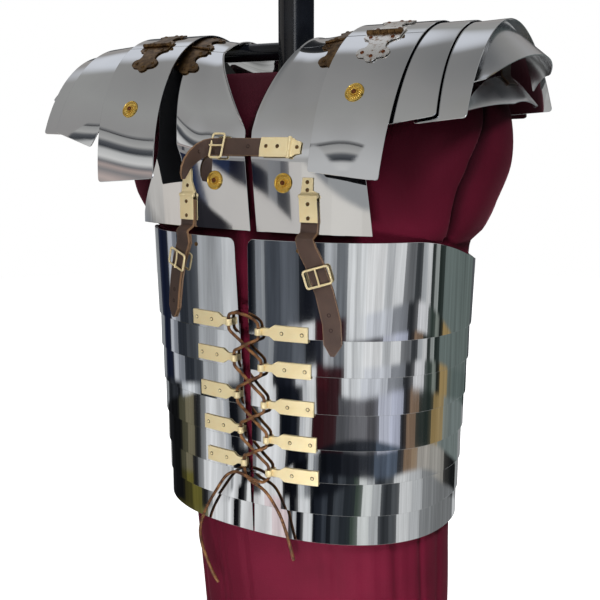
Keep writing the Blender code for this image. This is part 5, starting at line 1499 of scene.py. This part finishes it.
# the free end, from where it leaves the plate: millimetres to the right, up and forward as
# seen from the armour's front left, the way from its upper to its lower edge likewise, and
# its share of the width
CURL = (((-6.7, 0.0, -3.4), (0.0, -1.0, -0.05), 1.0),
        ((-13.6, -1.2, -5.2), (0.15, -0.97, -0.20), 1.0),
        ((-20.5, -4.5, -5.6), (0.35, -0.85, -0.45), 1.0),
        ((-27.0, -9.5, -4.2), (0.50, -0.60, -0.65), 1.0),
        ((-32.0, -15.5, -2.6), (0.50, -0.35, -0.80), 1.0),
        ((-35.5, -22.0, -1.4), (0.45, -0.15, -0.88), 0.95),
        ((-37.5, -28.5, -0.8), (0.42, -0.05, -0.90), 0.75),
        ((-38.5, -34.0, -0.6), (0.40, 0.00, -0.92), 0.30))
rightward, forward = Vector((0.838, 0.545, 0.0)), Vector((0.545, -0.838, 0.0))
upward = Vector((0, 0, 1))
curl = [[rightward * a + upward * b + forward * c for a, b, c in (shift, cross)]
        for shift, cross, _ in CURL]
strap += [(FREE_X, CHEST_Z, near, width, shift * 0.001, cross)
          for (shift, cross), (_, _, width) in zip(curl, CURL)]
band("chest_strap_leather", breast_point, strap, CHEST_STRAP_W, LEATHER, strap_hide,
     "strap_leather", "chest_strap", finer=4)
punch(holes, standing(breast_point, -0.0020, CHEST_Z, near + LEATHER))
for i in (0, 2):
    (shift, cross), (onward, _) = curl[i], curl[i + 1]
    along, up = (onward - shift).normalized(), -cross.normalized()
    off = up.cross(along).normalized()
    hole_at = Matrix((along, off.cross(along), off)).transposed().to_4x4()
    hole_at.translation = (breast_point(FREE_X, CHEST_Z, near) + shift * 0.001
                           + off * (LEATHER + 0.0001))
    punch(holes, hole_at)
bmesh.ops.recalc_face_normals(holes, faces=holes.faces)
# the holes are painted near black as shade
new_piece("punched_holes", holes, punched, "strap_leather", sharp=80)
wire_buckle("chest_wire_buckle", standing(breast_point, CHEST_BUCKLE_X, CHEST_Z, near + LEATHER),
            0.026, 0.016, 180, "chest_buckle")


# Rear straps: two plain straps of the same leather that carry the girdle at the back, each
# held by a pair of rivets at either end.
REAR_STRAP_X, REAR_RIVETS = 0.072, (0.532, 0.518, 0.400, 0.386)
REAR_STRAP_LEVELS = (0.5400, 0.5150, 0.4950, 0.4798, 0.4776, 0.4753, 0.4729, 0.4600, 0.4300,
                     0.4000, 0.3750)
LEATHER_RIVET = (0.0024, 0.0013)


def over_back(x, z, out):
    """Point over the back, from the backplates across the gap to the top hoop."""
    low, high = girdle_front(x, z, out), breast_point(x, z, out)
    low.y, high.y = -low.y, 2 * ARCH_Y - high.y
    return low.lerp(high, collar_share(z))


near = STEEL + 2 * CLEAR
rear_rivets = bmesh.new()
for side, label in SIDES:
    path = [(side * REAR_STRAP_X, z, near, 0.94) for z in REAR_STRAP_LEVELS]
    path.append((side * REAR_STRAP_X, REAR_STRAP_LEVELS[-1] - 0.012, near, 0.2))
    band(f"rear_strap_leather_{label}", over_back, path, STRAP_W, LEATHER, strap_hide,
         "strap_leather", f"girdle_strap_rear_{label}", level=0.0)
    for z in REAR_RIVETS:
        rivet(rear_rivets, standing(over_back, side * REAR_STRAP_X, z, near + LEATHER),
              *LEATHER_RIVET)
new_piece("rear_strap_rivets", rear_rivets, aged_brass, "aged_brass")


# Plate rivets: two small domed heads of the inner leathers' rivets, brass, set through the
# top hoop on either side of the lacing, just under its lip.
plate_rivets = bmesh.new()
for x, z in ((0.0694, 0.4622), (-0.0598, 0.4614)):
    rivet(plate_rivets, standing(girdle_front, x, z, STEEL), *LEATHER_RIVET)
new_piece("plate_rivets", plate_rivets, aged_brass, "aged_brass")
